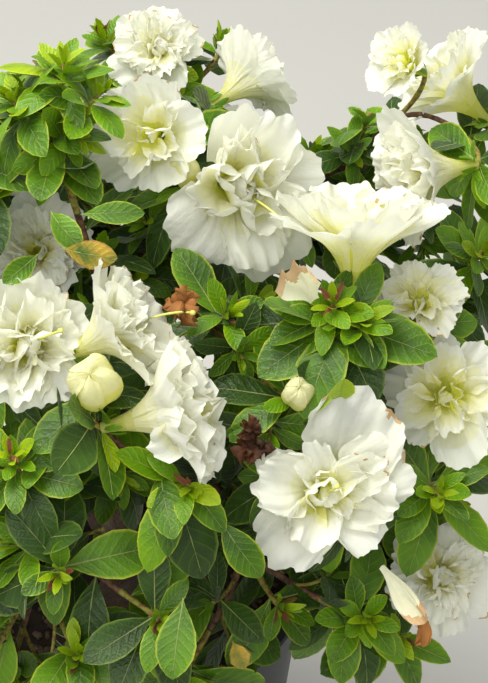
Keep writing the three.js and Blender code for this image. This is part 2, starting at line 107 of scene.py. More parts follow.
def in_scene(name, mesh, materials):
    """A smooth object of the scene, with this mesh and these materials."""
    for material in materials:
        mesh.materials.append(material)
    mesh.polygons.foreach_set("use_smooth", [True] * len(mesh.polygons))
    made = bpy.data.objects.new(name, mesh)
    scene.collection.objects.link(made)
    return made


def object_of(name, shape, *materials):
    """The object that a bmesh makes."""
    mesh = bpy.data.meshes.new(name)
    shape.to_mesh(mesh)
    shape.free()
    return in_scene(name, mesh, materials)


# Pale paint, hardly mottled, which leaves the eye on the plant.
floor_paint, tree, where = new_material("pale_floor")
mottle = add_node(tree, "TexNoise", {"Vector": where["Object"], "Scale": 3.0})
tone = add_node(tree, "Mix", {0: mottle, 6: "bdbbb6", 7: "c8c6c1"}, data_type="RGBA")
shader = add_node(tree, "BsdfPrincipled", {"Base Color": tone, "Roughness": 0.8})
add_node(tree, "OutputMaterial", {"Surface": shader})

floor_shape = bmesh.new()
bmesh.ops.create_grid(floor_shape, x_segments=1, y_segments=1, size=FLOOR_HALF)
floor = object_of("floor", floor_shape, floor_paint)

scene.world = bpy.data.worlds.new("overcast_sky")
scene.world.use_nodes = True
sky = scene.world.node_tree.nodes["Background"]
sky.inputs["Color"].default_value = linear("f2f4f5")
sky.inputs["Strength"].default_value = SKY_STRENGTH

for name, place, width, energy, colour in LAMPS:
    lamp_data = bpy.data.lights.new(name, "AREA")
    lamp_data.shape = "DISK"
    lamp_data.size = width
    lamp_data.energy = energy
    lamp_data.color = linear(colour)[:3]
    lamp = bpy.data.objects.new(name, lamp_data)
    lamp.location = place
    lamp.rotation_euler = (Vector(place) - LIT_PLACE).to_track_quat("Z", "Y").to_euler()
    scene.collection.objects.link(lamp)

# Pot. A nursery pot, injection-moulded in dark grey polypropylene: a thin tapered wall, a turned-down
# rim to lift it by, and four drain holes near the edge of its flat floor.
POT_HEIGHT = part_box("pot")[1].z
RIM_RADIUS = 0.083
MOUTH_RADIUS = 0.0795
FOOT_RADIUS = 0.063
POT_WALL = 0.002
RIM_DROP = 0.013
POT_STEPS = 128
DRAIN_HOLES = 4
DRAIN_HOLE_RADIUS = 0.005
DRAIN_CIRCLE_RADIUS = 0.046
MILLIMETRE = 0.001


def lathe(profile, steps):
    """A closed shape, turned about the upright axis from pairs of radius and height from axis to axis."""
    turned = bmesh.new()
    corners = [turned.verts.new((r, 0, z)) for r, z in profile]
    edges = [turned.edges.new(pair) for pair in zip(corners, corners[1:])]
    full = 2 * math.pi
    bmesh.ops.spin(
        turned, geom=corners + edges, cent=(0, 0, 0), axis=(0, 0, 1), angle=full, steps=steps, use_merge=True
    )
    bmesh.ops.remove_doubles(turned, verts=turned.verts, dist=1e-7)
    bmesh.ops.recalc_face_normals(turned, faces=turned.faces)
    return turned


def settle(piece):
    """Makes a piece's modifiers part of its mesh."""
    finished = bpy.data.meshes.new_from_object(piece.evaluated_get(bpy.context.evaluated_depsgraph_get()))
    piece.modifiers.clear()
    piece.data = finished


def fit(piece, slot, *nodes):
    """Hands a piece over to the frame: it moves with the plant and stands for these nodes."""
    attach(piece, "root")
    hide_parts(*nodes)


# Polypropylene from a mould: near black, satin, a faint grain, dusty below the rim and splashed with
# peat near its foot.
pot_plastic, tree, where = new_material("moulded_polypropylene")
height = add_node(tree, "SeparateXYZ", {0: where["Object"]})
dust = add_node(
    tree, "TexNoise", {"Vector": where["Object"], "Scale": 38.0, "Detail": 8.0, "Roughness": 0.65}
)
low = add_node(tree, "MapRange", {0: height.outputs["Z"], 1: 0.0, 2: 0.09, 3: 0.75, 4: 0.25})
dusty = add_node(tree, "Math", {0: dust, 1: low}, operation="MULTIPLY")
share = add_node(tree, "MapRange", {0: dusty, 1: 0.12, 2: 0.5, 3: 0.0, 4: 0.55})
tone = add_node(tree, "Mix", {0: share, 6: "26282b", 7: "6a6157"}, data_type="RGBA")
gloss = add_node(tree, "MapRange", {0: dusty, 1: 0.1, 2: 0.5, 3: 0.42, 4: 0.75})
grain = add_node(tree, "TexNoise", {"Vector": where["Object"], "Scale": 900.0, "Detail": 3.0})
bump = add_node(tree, "Bump", {"Height": grain, "Strength": 0.25, "Distance": 0.2 * MILLIMETRE})
shader = add_node(
    tree, "BsdfPrincipled", {"Base Color": tone, "Roughness": gloss, "IOR": 1.49, "Normal": bump}
)
add_node(tree, "OutputMaterial", {"Surface": shader})

rim_foot = POT_HEIGHT - RIM_DROP
pot_shape = lathe(
    [
        (0, 0),
        (FOOT_RADIUS - 0.001, 0),
        (FOOT_RADIUS, 0.0015),
        (MOUTH_RADIUS, rim_foot),
        (RIM_RADIUS - 0.0015, rim_foot),
        (RIM_RADIUS, POT_HEIGHT - 0.001),
        (RIM_RADIUS - 0.001, POT_HEIGHT),
        (MOUTH_RADIUS - 0.001, POT_HEIGHT),
        (MOUTH_RADIUS - POT_WALL, POT_HEIGHT - 0.001),
        (FOOT_RADIUS - POT_WALL, POT_WALL),
        (0, POT_WALL),
    ],
    POT_STEPS,
)
holes_shape = bmesh.new()
for number in range(DRAIN_HOLES):
    made = bmesh.ops.create_cone(
        holes_shape,
        cap_ends=True,
        segments=32,
        radius1=DRAIN_HOLE_RADIUS,
        radius2=DRAIN_HOLE_RADIUS,
        depth=6 * POT_WALL,
    )
    turn = 2 * math.pi * number / DRAIN_HOLES
    centre = Vector((math.cos(turn), math.sin(turn), 0)) * DRAIN_CIRCLE_RADIUS
    bmesh.ops.translate(holes_shape, verts=made["verts"], vec=centre)
holes = object_of("drain_holes", holes_shape)
pot = object_of("nursery_pot", pot_shape, pot_plastic)
cut = pot.modifiers.new("drain", "BOOLEAN")
cut.object = holes
cut.operation = "DIFFERENCE"
cut.solver = "EXACT"
soften = pot.modifiers.new("soft_edges", "BEVEL")
soften.width = 0.35 * MILLIMETRE
soften.segments = 3
soften.limit_method = "ANGLE"
soften.angle_limit = math.radians(25)
soften.harden_normals = True
settle(pot)
bpy.data.objects.remove(holes)
fit(pot, "pot_plastic", "pot")

# Potting mix. Damp peat with shreds of composted bark, filled to 16 mm under the rim and drawn up a
# little round the stem.
SOIL_LEVEL = 0.149
SOIL_MOUND = 0.003
SOIL_EDGE = 0.0752
SOIL_FOOT = 0.0604
SOIL_UNDERSIDE = 0.0023
SOIL_RELIEF = 0.0016
SOIL_RINGS = 44
SOIL_STEPS = 144
BARK_CHIPS = 520
CHIP_LENGTH = (0.003, 0.010)
# A chip's width, length and thickness as shares of its length, and how high its middle lies
CHIP_SHAPE = (0.45, 1.0, 0.22)
CHIP_RISE = 0.04


def chance(*keys):
    """A repeatable share from 0 to 1 for any few whole numbers, as in the part's source."""
    h = 2166136261
    for key in keys:
        h = ((h ^ (key & 0xFFFFFFFF)) * 16777619) & 0xFFFFFFFF
        h ^= h >> 13
        h = (h * 1540483477) & 0xFFFFFFFF
        h ^= h >> 15
    return h / 4294967296


def between(ends, share):
    return ends[0] + (ends[1] - ends[0]) * share


def soil_height(x, y):
    """The height of the mix at a place: a low mound with crumbs and hollows."""
    out = math.hypot(x, y) / SOIL_EDGE
    crumbs = noise.noise((x * 90, y * 90, 0.0)) + 0.6 * noise.noise((x * 260, y * 260, 4.0))
    clear_of_stem = min(1.0, max(0.0, (math.hypot(x, y) - 0.014) / 0.01))
    return SOIL_LEVEL + SOIL_MOUND * (1 - out**2) + SOIL_RELIEF * crumbs * clear_of_stem


# Damp peat: near black lumps with dull brown fibres between them, and no shine.
peat, tree, where = new_material("damp_peat")
lumps = add_node(
    tree, "TexNoise", {"Vector": where["Object"], "Scale": 220.0, "Detail": 9.0, "Roughness": 0.7}
)
fibres = add_node(tree, "TexNoise", {"Vector": where["Object"], "Scale": 1100.0, "Detail": 4.0})
share = add_node(tree, "MapRange", {0: lumps, 1: 0.35, 2: 0.7})
tone = add_node(tree, "Mix", {0: share, 6: "1e1610", 7: "4a3828"}, data_type="RGBA")
crumb = add_node(tree, "Math", {0: lumps, 1: fibres}, operation="ADD")
bump = add_node(tree, "Bump", {"Height": crumb, "Strength": 0.9, "Distance": 0.9 * MILLIMETRE})
shader = add_node(tree, "BsdfPrincipled", {"Base Color": tone, "Roughness": 0.92, "Normal": bump})
add_node(tree, "OutputMaterial", {"Surface": shader})

surface = [(SOIL_EDGE * (1 - k / SOIL_RINGS), SOIL_LEVEL) for k in range(SOIL_RINGS)]
soil_shape = lathe(
    [(0, SOIL_UNDERSIDE), (SOIL_FOOT, SOIL_UNDERSIDE), *surface, (0, SOIL_LEVEL)], SOIL_STEPS
)
for corner in soil_shape.verts:
    if corner.co.z > 0.1 and corner.co.xy.length < SOIL_EDGE - 0.0005:
        corner.co.z = soil_height(corner.co.x, corner.co.y)
soil = object_of("potting_mix", soil_shape, peat)
fit(soil, "potting_mix", "soil")


class Gathered:
    """Many small shapes, each copied to its place, gathered for one mesh."""

    def __init__(self):
        self.copies = []
        self.count = 0

    def add(self, model, corners, kinds=0):
        """Adds a copy of a model with its corners moved, and the number of the material of its faces."""
        kinds = np.broadcast_to(kinds, len(model.sizes))
        self.copies.append((corners, model.loops + self.count, model.sizes, kinds, model.patterns))
        self.count += len(corners)

    def piece(self, name, *materials):
        """The one object that all the copies make."""
        corners, loops, sizes, kinds, patterns = (np.concatenate(part) for part in zip(*self.copies))
        mesh = bpy.data.meshes.new(name)
        mesh.vertices.add(len(corners))
        mesh.vertices.foreach_set("co", corners.astype(np.float32).ravel())
        mesh.loops.add(len(loops))
        mesh.loops.foreach_set("vertex_index", loops.astype(np.int32))
        mesh.polygons.add(len(sizes))
        mesh.polygons.foreach_set("loop_start", (np.cumsum(sizes) - sizes).astype(np.int32))
        mesh.polygons.foreach_set("material_index", kinds.astype(np.int32))
        mesh.uv_layers.new(name="UVMap").data.foreach_set("uv", patterns.astype(np.float32).ravel())
        mesh.update(calc_edges=True)
        return in_scene(name, mesh, materials)


class Model:
    """A small shape as arrays, ready to be copied: corners, face corners, face sizes and pattern places."""

    def __init__(self, shape, pattern_of=lambda corner: (0.0, 0.0)):
        shape.verts.index_update()
        self.corners = np.array([v.co for v in shape.verts])
        self.loops = np.array([v.index for f in shape.faces for v in f.verts])
        self.sizes = np.array([len(f.verts) for f in shape.faces])
        self.patterns = np.array([pattern_of(v.co) for f in shape.faces for v in f.verts])
        shape.free()


def unit(vector):
    return vector / np.linalg.norm(vector)


def across(along, towards):
    """Two directions square to a third and to each other, the second as near as can be to another one."""
    helper = np.array((0.6, 0.8, 0.0)) if abs(np.dot(along, towards)) > 0.96 else towards
    side = unit(np.cross(helper, along))
    return side, unit(np.cross(along, side))


def fibrous_material(name, scale, detail, low, high, dark, light, strength, depth, dullness):
    """Dull plant matter: two tones in flecks of one size, with the second tone's flecks raised."""
    material, tree, where = new_material(name)
    flecks = add_node(tree, "TexNoise", {"Vector": where["Object"], "Scale": scale, "Detail": detail})
    share = add_node(tree, "MapRange", {0: flecks, 1: low, 2: high})
    tone = add_node(tree, "Mix", {0: share, 6: dark, 7: light}, data_type="RGBA")
    bump = add_node(tree, "Bump", {"Height": flecks, "Strength": strength, "Distance": depth * MILLIMETRE})
    shader = add_node(tree, "BsdfPrincipled", {"Base Color": tone, "Roughness": dullness, "Normal": bump})
    add_node(tree, "OutputMaterial", {"Surface": shader})
    return material


# Composted bark: flat brown shreds, some weathered grey.
chip_bark = fibrous_material(
    "composted_bark_chips", 130.0, 5.0, 0.36, 0.64, "33241a", "7d6650", 0.6, 0.5, 0.88
)

chip_shape = bmesh.new()
bmesh.ops.create_icosphere(chip_shape, subdivisions=1, radius=0.5)
for number, corner in enumerate(chip_shape.verts):
    corner.co *= 0.75 + 0.5 * chance(number, 31)
chip = Model(chip_shape)
chips = Gathered()
for number in range(BARK_CHIPS):
    turn = 2 * math.pi * chance(number, 1, 70)
    out = between((0.017, SOIL_EDGE - 0.006), math.sqrt(chance(number, 2, 70)))
    length = between(CHIP_LENGTH, chance(number, 3, 70) ** 2)
    x, y = out * math.cos(turn), out * math.sin(turn)
    flat = (chance(number, 4, 70) - 0.5, chance(number, 5, 70) - 0.5, 0.25 * chance(number, 6, 70))
    along = unit(np.array(flat))
    side, lift = across(along, np.array((0.0, 0.0, 1.0)))
    size = np.array(CHIP_SHAPE) * length
    middle = (x, y, soil_height(x, y) + CHIP_RISE * length)
    chips.add(chip, chip.corners * size @ np.array((side, along, lift)) + middle)
fit(chips.piece("bark_chips", chip_bark), "potting_mix")

# Stem and boughs. A short stem forks low into thirteen boughs of thin brown bark, ridged along the
# grain and ringed with old leaf scars. They grow together where they fork, so they are one skin.
TRUNK_HEIGHT = 0.030
TRUNK_RADIUS = 0.0072
TRUNK_TIP_RADIUS = 0.006
TRUNK_FLARE = 0.006
TRUNK_LEAN = (0.003, -0.002)
BOUGH_BASE_RADIUS = 0.0039
BOUGH_TIP_RADIUS = 0.0023
BOUGH_REACH = 0.4
GAP = 0.0003
CROWN_CENTRE = np.array((0.005, 0.0, 0.268))
CROWN_HALF_WIDTH = 0.150
CROWN_HALF_DEPTH = 0.142
CROWN_RISE = 0.130
CROWN_DROP = 0.092
BARK_VOXEL = 0.0009
BARK_RIDGE = 0.00035
BARK_STATIONS = 120
# Sides and rings of the rods that the limbs are made of
TRUNK_ROD = (24, 20)
BOUGH_ROD = (16, 60)
UP = np.array((0.0, 0.0, 1.0))

# Each mass of foliage: its name, its azimuth and elevation on the crown in degrees, the bough that its
# own bough leaves, and where along that bough. With no parent, its bough leaves the trunk.
MASSES = [
    ("top", -60, 82, None, 1),
    ("front_low", -98, 6, None, 0.62),
    ("right_front", -22, 18, None, 0.78),
    ("back_upper", 82, 46, None, 0.66),
    ("left_upper", 168, 40, None, 0.82),
    ("front_upper", -92, 46, "front_low", 0.42),
    ("centre", -44, 46, "right_front", 0.4),
    ("front_right_low", -55, -4, "right_front", 0.62),
    ("right_back_upper", 28, 42, "back_upper", 0.36),
    ("left_low", -154, 7, "left_upper", 0.4),
    ("back_left_low", 136, 0, "left_upper", 0.62),
    ("back_right_low", 66, -6, "back_upper", 0.6),
    ("right_low", 12, -4, "right_front", 0.84),
]


def direction(azimuth, elevation):
    a, e = math.radians(azimuth), math.radians(elevation)
    return np.array((math.cos(e) * math.cos(a), math.cos(e) * math.sin(a), math.sin(e)))


def on_crown(azimuth, elevation, reach):
    out = direction(azimuth, elevation)
    height = CROWN_RISE if out[2] > 0 else CROWN_DROP
    return CROWN_CENTRE + out * (CROWN_HALF_WIDTH, CROWN_HALF_DEPTH, height) * reach


def bezier(points, share):
    """The place at a share of a curve with three or four control points, and its direction there."""
    level = list(points)
    while len(level) > 2:
        level = [a + (b - a) * share for a, b in zip(level, level[1:])]
    return level[0] + (level[1] - level[0]) * share, unit(level[1] - level[0])


def bough_curves(trunk):
    """Every bough leaves its parent low and outward, and turns up to its mass."""
    curves = {}
    for name, azimuth, elevation, parent, leaves in MASSES:
        tip = on_crown(azimuth, elevation, BOUGH_REACH)
        start = bezier(curves[parent] if parent else trunk, leaves)[0]
        if not parent and leaves < 1:
            start = start + direction(azimuth, 0) * (TRUNK_RADIUS - BOUGH_BASE_RADIUS / 2)
        rise = tip - start
        bend = start + rise * (1, 1, 0) * (0.1 if leaves == 1 else 0.55) + UP * 0.35 * rise[2]
        curves[name] = (start, bend, tip)
    return curves


def rod_model(sides, steps):
    """A capped cylinder of unit radius with rings from 0 to 1 along it, to be laid along a curve."""
    rod = bmesh.new()
    bmesh.ops.create_cone(rod, cap_ends=True, cap_tris=True, segments=sides, radius1=1, radius2=1, depth=1)
    upright = [e for e in rod.edges if abs(e.verts[0].co.z - e.verts[1].co.z) > 0.5]
    bmesh.ops.subdivide_edges(rod, edges=upright, cuts=steps - 1, use_grid_fill=True)
    bmesh.ops.translate(rod, verts=rod.verts, vec=(0, 0, 0.5))
    around = lambda corner: math.atan2(corner.y, corner.x) / (2 * math.pi) + 0.5
    return Model(rod, lambda corner: (around(corner), corner.z))


def laid_along(rod, curve, radius_at):
    """A rod's corners laid along a curve, with the radius that a function gives at each share."""
    places = np.empty_like(rod.corners)
    rings = np.round(rod.corners[:, 2], 6)
    for share in np.unique(rings):
        ring = rings == share
        at, along = bezier(curve, share)
        side, lift = across(along, np.array((1.0, 0.0, 0.0)))
        places[ring] = at + radius_at(share) * (rod.corners[ring, :1] * side + rod.corners[ring, 1:2] * lift)
    return places


def curve_length(curve):
    places = np.array([bezier(curve, k / 24)[0] for k in range(25)])
    return np.linalg.norm(np.diff(places, axis=0), axis=1).sum()


# Azalea bark: thin, grey-brown with warmer cracks, dry and slightly flaking.
bark, tree, where = new_material("azalea_bark")
grain = add_node(tree, "Attribute", {}, attribute_name="bark_grain").outputs["Vector"]
fissures = add_node(tree, "TexNoise", {"Vector": grain, "Scale": 2.6, "Detail": 8.0, "Roughness": 0.68})
weathered = add_node(tree, "TexNoise", {"Vector": where["Object"], "Scale": 75.0, "Detail": 4.0})
share = add_node(tree, "MapRange", {0: fissures, 1: 0.32, 2: 0.66})
tone = add_node(tree, "Mix", {0: share, 6: "33231a", 7: "8a7160"}, data_type="RGBA")
grey = add_node(tree, "MapRange", {0: weathered, 1: 0.5, 2: 0.72, 3: 0.0, 4: 0.5})
tone = add_node(tree, "Mix", {0: grey, 6: tone, 7: "8f877a"}, data_type="RGBA")
bump = add_node(tree, "Bump", {"Height": fissures, "Strength": 0.9, "Distance": 0.5 * MILLIMETRE})
shader = add_node(tree, "BsdfPrincipled", {"Base Color": tone, "Roughness": 0.9, "Normal": bump})
add_node(tree, "OutputMaterial", {"Surface": shader})

trunk_foot = np.array((0.0, 0.0, SOIL_LEVEL + SOIL_MOUND + GAP))
trunk_curve = (
    trunk_foot,
    trunk_foot + UP * TRUNK_HEIGHT / 2,
    trunk_foot + np.array((*TRUNK_LEAN, TRUNK_HEIGHT)),
)
bough_lines = bough_curves(trunk_curve)


def trunk_radius(share):
    return between((TRUNK_RADIUS, TRUNK_TIP_RADIUS), share) + TRUNK_FLARE * (1 - share) ** 5


def bough_radius(share):
    """A bough tapers, and swells a little where it leaves its parent."""
    return between((BOUGH_BASE_RADIUS, BOUGH_TIP_RADIUS), share) + 0.0012 * (1 - share) ** 12


limbs = Gathered()
trunk_rod, bough_rod = rod_model(*TRUNK_ROD), rod_model(*BOUGH_ROD)
limbs.add(trunk_rod, laid_along(trunk_rod, trunk_curve, trunk_radius))
for curve in bough_lines.values():
    limbs.add(bough_rod, laid_along(bough_rod, curve, bough_radius))
limbs = limbs.piece("stem_and_boughs", bark)
merge = limbs.modifiers.new("one_skin", "REMESH")
merge.mode = "VOXEL"
merge.voxel_size = BARK_VOXEL
merge.use_smooth_shade = True
soften = limbs.modifiers.new("soft_forks", "SMOOTH")
soften.factor = 0.6
soften.iterations = 3
settle(limbs)

# Ridges and leaf scars follow each limb, so every corner is told where it lies along and around its limb.
stations = []
limb_curves = [(trunk_curve, trunk_radius), *[(line, bough_radius) for line in bough_lines.values()]]
for number, (curve, radius_at) in enumerate(limb_curves):
    length = curve_length(curve)
    for k in range(BARK_STATIONS + 1):
        at, along = bezier(curve, k / BARK_STATIONS)
        sides = across(along, np.array((1.0, 0.0, 0.0)))
        stations.append((at, sides, length * k / BARK_STATIONS, radius_at(k / BARK_STATIONS), number))
nearest = KDTree(len(stations))
for k, station in enumerate(stations):
    nearest.insert(station[0], k)
nearest.balance()
grains = np.empty((len(limbs.data.vertices), 3))
for k, corner in enumerate(limbs.data.vertices):
    at, (side, lift), way, radius, number = stations[nearest.find(corner.co)[1]]
    out = np.array(corner.co) - at
    turn = math.atan2(out @ lift, out @ side)
    thickness = 1000 * radius
    grain_at = (math.cos(turn) * thickness, math.sin(turn) * thickness, 1000 * way / 7 + 9 * number)
    ridge = noise.noise(Vector(grain_at) * 0.9) + 0.5 * noise.noise(Vector(grain_at) * 2.1)
    scar = max(0.0, noise.noise((1000 * way / 3.2, turn * 0.5, number)) - 0.25)
    swell = BARK_RIDGE * (ridge * (0.5 + 0.12 * thickness) + 1.4 * scar)
    corner.co += Vector(out / max(np.linalg.norm(out), 1e-6) * swell)
    grains[k] = grain_at
limbs.data.attributes.new("bark_grain", "FLOAT_VECTOR", "POINT").data.foreach_set("vector", grains.ravel())
fit(limbs, "bark", "trunk", *[f"bough_{name}" for name in bough_lines])

# Heads. Every twig ends in a head: an open flower, a bud or a whorl of leaves, at or near the dome that
# bounds the crown. The front's are set one by one, and a golden spiral fills the rest.
GOLDEN_ANGLE = math.pi * (3 - math.sqrt(5))
SPIRAL_SITES = 118
SPIRAL_LOWEST = -0.62
SPIRAL_REACH = (0.95, 1.07)
SITE_SPACING = 0.036
BLOOM_CLEARANCE = 0.020
FLOWERING_SHARE = 0.45
FLOWERS_ABOVE = -12
BLOOM_WIDTHS = (0.050, 0.066)
SHOOT_LENGTHS = (0.032, 0.040)
BLOOM_DEPTH = 0.62
BUD_SLIMNESS = 1.5
FRONT_FROM = -118
FRONT_TO = 64
HIDING_SHARE = 0.86

# Flowers of the front: azimuth, elevation and reach on the crown, the azimuth and elevation that each
# faces, its width in metres, the mass that carries it, and its form
FRONT_BLOOMS = [
    (-58, 22, 1.07, -88, 40, 0.064, "front_right_low", "open"),
    (-38, -9, 1.08, -78, 42, 0.050, "front_right_low", "crumpled"),
    (-32, 25, 1.07, -100, 42, 0.049, "right_front", "bowl"),
    (-24, 39, 1.08, -92, 72, 0.036, "centre", "bowl"),
    (-27, 55, 1.17, 85, 68, 0.062, "centre", "trumpet"),
    (-34, 67, 1.02, -68, 24, 0.068, "centre", "hose"),
    (76, 69, 1.1, -105, 50, 0.042, "back_upper", "crumpled"),
    (-60, 81, 1.08, -110, 30, 0.044, "top", "trumpet"),
    (46, 60, 1.08, 40, 14, 0.046, "back_upper", "hose"),
    (30, 42, 1.3, 168, 40, 0.054, "right_back_upper", "trumpet"),
    (-7, 51, 1.14, -159, 4, 0.054, "right_back_upper", "frilled"),
    (23, 53, 1.3, -150, 40, 0.032, "right_back_upper", "trumpet"),
    (-104, 48, 1.07, -75, 40, 0.052, "front_upper", "frilled"),
    (-83, 52, 1.08, 5, 31, 0.052, "front_upper", "frilled"),
    (-75, 39, 1.09, 0, 16, 0.056, "front_upper", "frilled"),
    (-130, 68, 0.8, -92, 46, 0.048, "front_upper", "crumpled"),
]
# Closed buds of the front, in the same columns, with the bud's own width
FRONT_BUDS = [
    (-91, 43, 1.1, -100, 56, 0.021, "front_upper"),
    (-55, 36, 0.98, -80, 60, 0.013, "centre"),
    (-40, 76, 0.98, -100, 70, 0.013, "top"),
]
# Leafy shoot tips of the front, in the same columns, with the length of their longest leaves
FRONT_SHOOTS = [
    (-123, 78, 1.22, -100, 80, 0.036, "front_upper"),
    (-145, 71, 1.1, -150, 70, 0.034, "left_upper"),
    (-40, 41, 1.08, -90, 58, 0.040, "centre"),
    (-43, 46, 1.07, -100, 62, 0.034, "centre"),
    (-28, 34, 1.1, -60, 64, 0.032, "right_front"),
    (-40, 12, 1.08, -76, 54, 0.036, "right_front"),
    (-77, 27, 1.04, -92, 52, 0.042, "front_upper"),
    (-104, 32, 1.05, -100, 62, 0.030, "front_low"),
    (-96, 15, 1.04, -92, 34, 0.038, "front_low"),
    (-94, -2, 1.04, -88, 66, 0.034, "front_low"),
    (-83, 6, 1.03, -84, 42, 0.042, "front_low"),
    (-52, -9, 1.06, -80, 50, 0.034, "front_right_low"),
    (-45, -20, 1.12, -70, 70, 0.030, "front_right_low"),
    (10, 76, 0.96, -120, 60, 0.032, "top"),
    (66, 54, 1.08, 40, 70, 0.030, "back_upper"),
    (96, 54, 1.1, 150, 60, 0.032, "back_upper"),
    (6, 26, 1.08, -40, 48, 0.034, "right_low"),
    (26, 34, 1.1, -120, 40, 0.034, "right_back_upper"),
    (32, 44, 1.1, 120, 60, 0.030, "right_back_upper"),
    (-60, -16, 0.86, -60, 30, 0.036, "front_right_low"),
    (-58, 52, 0.86, -50, 50, 0.038, "centre"),
]
# Gaps in the crown that show what lies behind, as azimuth, elevation and half width in degrees
CROWN_GAPS = [(45, 62, 10), (-68, -20, 13)]
# Open places that the photographed side looks into: azimuth, elevation and reach on the crown, radius, and
# how deep they go. The first three let the sky through, the others show the bare twigs inside.
SIGHT_GAPS = [
    (40, 56, 1.05, 0.013, 1.0),
    (40, 48, 1.05, 0.011, 1.0),
    (48, 66, 1.05, 0.010, 1.0),
    (-91, 23, 1.0, 0.009, 0.05),
    (-90, 11, 1.0, 0.010, 0.05),
    (-102, -3, 1.0, 0.012, 0.05),
    (-68, 5, 1.0, 0.012, 0.06),
    (-75, -8, 1.0, 0.010, 0.05),
    (-72, 57, 0.95, 0.009, 0.05),
]
SPIRAL_FORMS = ("open", "trumpet", "rose", "hose", "crumpled")


class Head:
    """What a twig carries at its end."""

    def __init__(self, kind, place, face, size, mass, form="", front=True):
        self.kind, self.size, self.mass, self.form, self.front = kind, size, mass, form, front
        self.at = on_crown(*place)
        self.face = direction(*face)
        self.side, self.lift = across(self.face, UP)
        depth = {"bloom": size * BLOOM_DEPTH, "bud": size * BUD_SLIMNESS / 2 - 0.002, "shoot": 0}[kind]
        self.foot = self.at - self.face * depth


def nearest_mass(azimuth, elevation):
    out = direction(azimuth, elevation)
    return max(MASSES, key=lambda mass: direction(mass[1], mass[2]) @ out)[0]


def in_gap(azimuth, elevation):
    out = direction(azimuth, elevation)
    return any(direction(a, e) @ out > math.cos(math.radians(half)) for a, e, half in CROWN_GAPS)


def spiral_heads(heads):
    """Fills the rest of the crown: heads on a golden spiral, wherever the front's own leave room."""
    heads = list(heads)
    for i in range(SPIRAL_SITES):
        height = 1 - ((i + 0.5) / SPIRAL_SITES) * (1 - SPIRAL_LOWEST)
        elevation = math.degrees(math.asin(height))
        azimuth = (math.degrees(i * GOLDEN_ANGLE) + 180) % 360 - 180
        place = (azimuth, elevation, between(SPIRAL_REACH, chance(i, 1)))
        room = lambda head: head.size / 2 + BLOOM_CLEARANCE if head.kind == "bloom" else SITE_SPACING
        if in_gap(azimuth, elevation):
            continue
        if any(np.linalg.norm(head.at - on_crown(*place)) < room(head) for head in heads):
            continue
        front = FRONT_FROM < azimuth < FRONT_TO
        flowers = not front and elevation > FLOWERS_ABOVE and chance(i, 2) < FLOWERING_SHARE
        face = (azimuth + between((-25, 25), chance(i, 3)), 24 + 0.6 * elevation)
        size = between(BLOOM_WIDTHS if flowers else SHOOT_LENGTHS, chance(i, 4))
        form = SPIRAL_FORMS[int(len(SPIRAL_FORMS) * chance(i, 6))]
        kind = "bloom" if flowers else "shoot"
        heads.append(Head(kind, place, face, size, nearest_mass(azimuth, elevation), form, front=False))
    return heads


front_rows = {"bloom": FRONT_BLOOMS, "bud": FRONT_BUDS, "shoot": FRONT_SHOOTS}
heads = spiral_heads(
    [Head(kind, row[:3], row[3:5], *row[5:]) for kind, rows in front_rows.items() for row in rows]
)
blooms = [head for head in heads if head.kind == "bloom"]
bloom_places, bloom_faces, bloom_sizes, front_blooms = (
    np.array([getattr(head, name) for head in blooms]) for name in ("at", "face", "size", "front")
)
sight_line = np.array(to_camera)


def in_flower(place, margin=0.0):
    """Whether a place lies inside a flower or right before its open side."""
    step = place - bloom_places
    along = (step * bloom_faces).sum(1)
    out = np.sqrt(np.maximum((step**2).sum(1) - along**2, 0))
    depth = BLOOM_DEPTH * bloom_sizes
    mouth = 0.5 * bloom_sizes * np.clip((along + depth) / depth, 0, 1) ** 1.4
    return bool(np.any((along > -depth) & (along < 0.4 * bloom_sizes) & (out < mouth + margin)))


def off_sight_line(place, others):
    """How far before each of some other places a place lies for the camera, and how far beside it."""
    step = place - others
    along = step @ sight_line
    return along, np.sqrt(np.maximum((step**2).sum(1) - along**2, 0))


def hides_flower(place):
    """Whether a place lies between the photographed side and one of the flowers that open to it."""
    along, out = off_sight_line(place, bloom_places)
    return bool(np.any(front_blooms & (along > 0) & (out < HIDING_SHARE * bloom_sizes / 2)))


# Twigs. Reddish-brown, ripening from green: they branch from the stem of each mass, each head taking the
# shortest way from a fork, and carry finer side twigs that end in small whorls.
STEM_LENGTH = 0.012
TWIG_RADIUS = 0.0019
TWIG_TIP_RADIUS = 0.0011
FORK_SHARES = (0.3, 0.55)
TURNING_COST = 0.5
WAY_COST = 0.35
SIDE_TWIG_SHARES = (0.3, 0.46, 0.62, 0.78)
SIDE_TWIG_LENGTHS = (0.016, 0.034)
SIDE_TWIG_RADIUS = 0.00085
SIDE_TIP_SPACING = 0.017
SIDE_TIPS_ABOVE = 0.19
SIDE_TIP_CLEARANCE = 0.004
RIPE_SHARE = 0.6
# How far a twig keeps the way of its fork, and of its head, as shares of its span
FORK_PULL = 0.3
HEAD_PULL = 0.32
TWIG_ROD = (8, 16)
SIDE_ROD = (6, 7)
# The photographed side's tallest shoot branches near its tip: how far each spur's own tip stands from the
# shoot's, to the right and up as the camera sees it, and where the spurs leave the shoot
LEADER_SPURS = [(0.019, 0.007), (0.005, 0.017), (-0.014, 0.004), (0.009, -0.008)]
SPURS_LEAVE = 0.86


class Twig:
    """A twig along a curve, with the head or the small whorl at its end."""

    def __init__(self, curve, radii, head=None):
        self.curve, self.radii, self.head = curve, radii, head
        self.length = np.linalg.norm(curve[-1] - curve[0])

    def at(self, share):
        return bezier(self.curve, share)

    def radius(self, share):
        return between(self.radii, share)


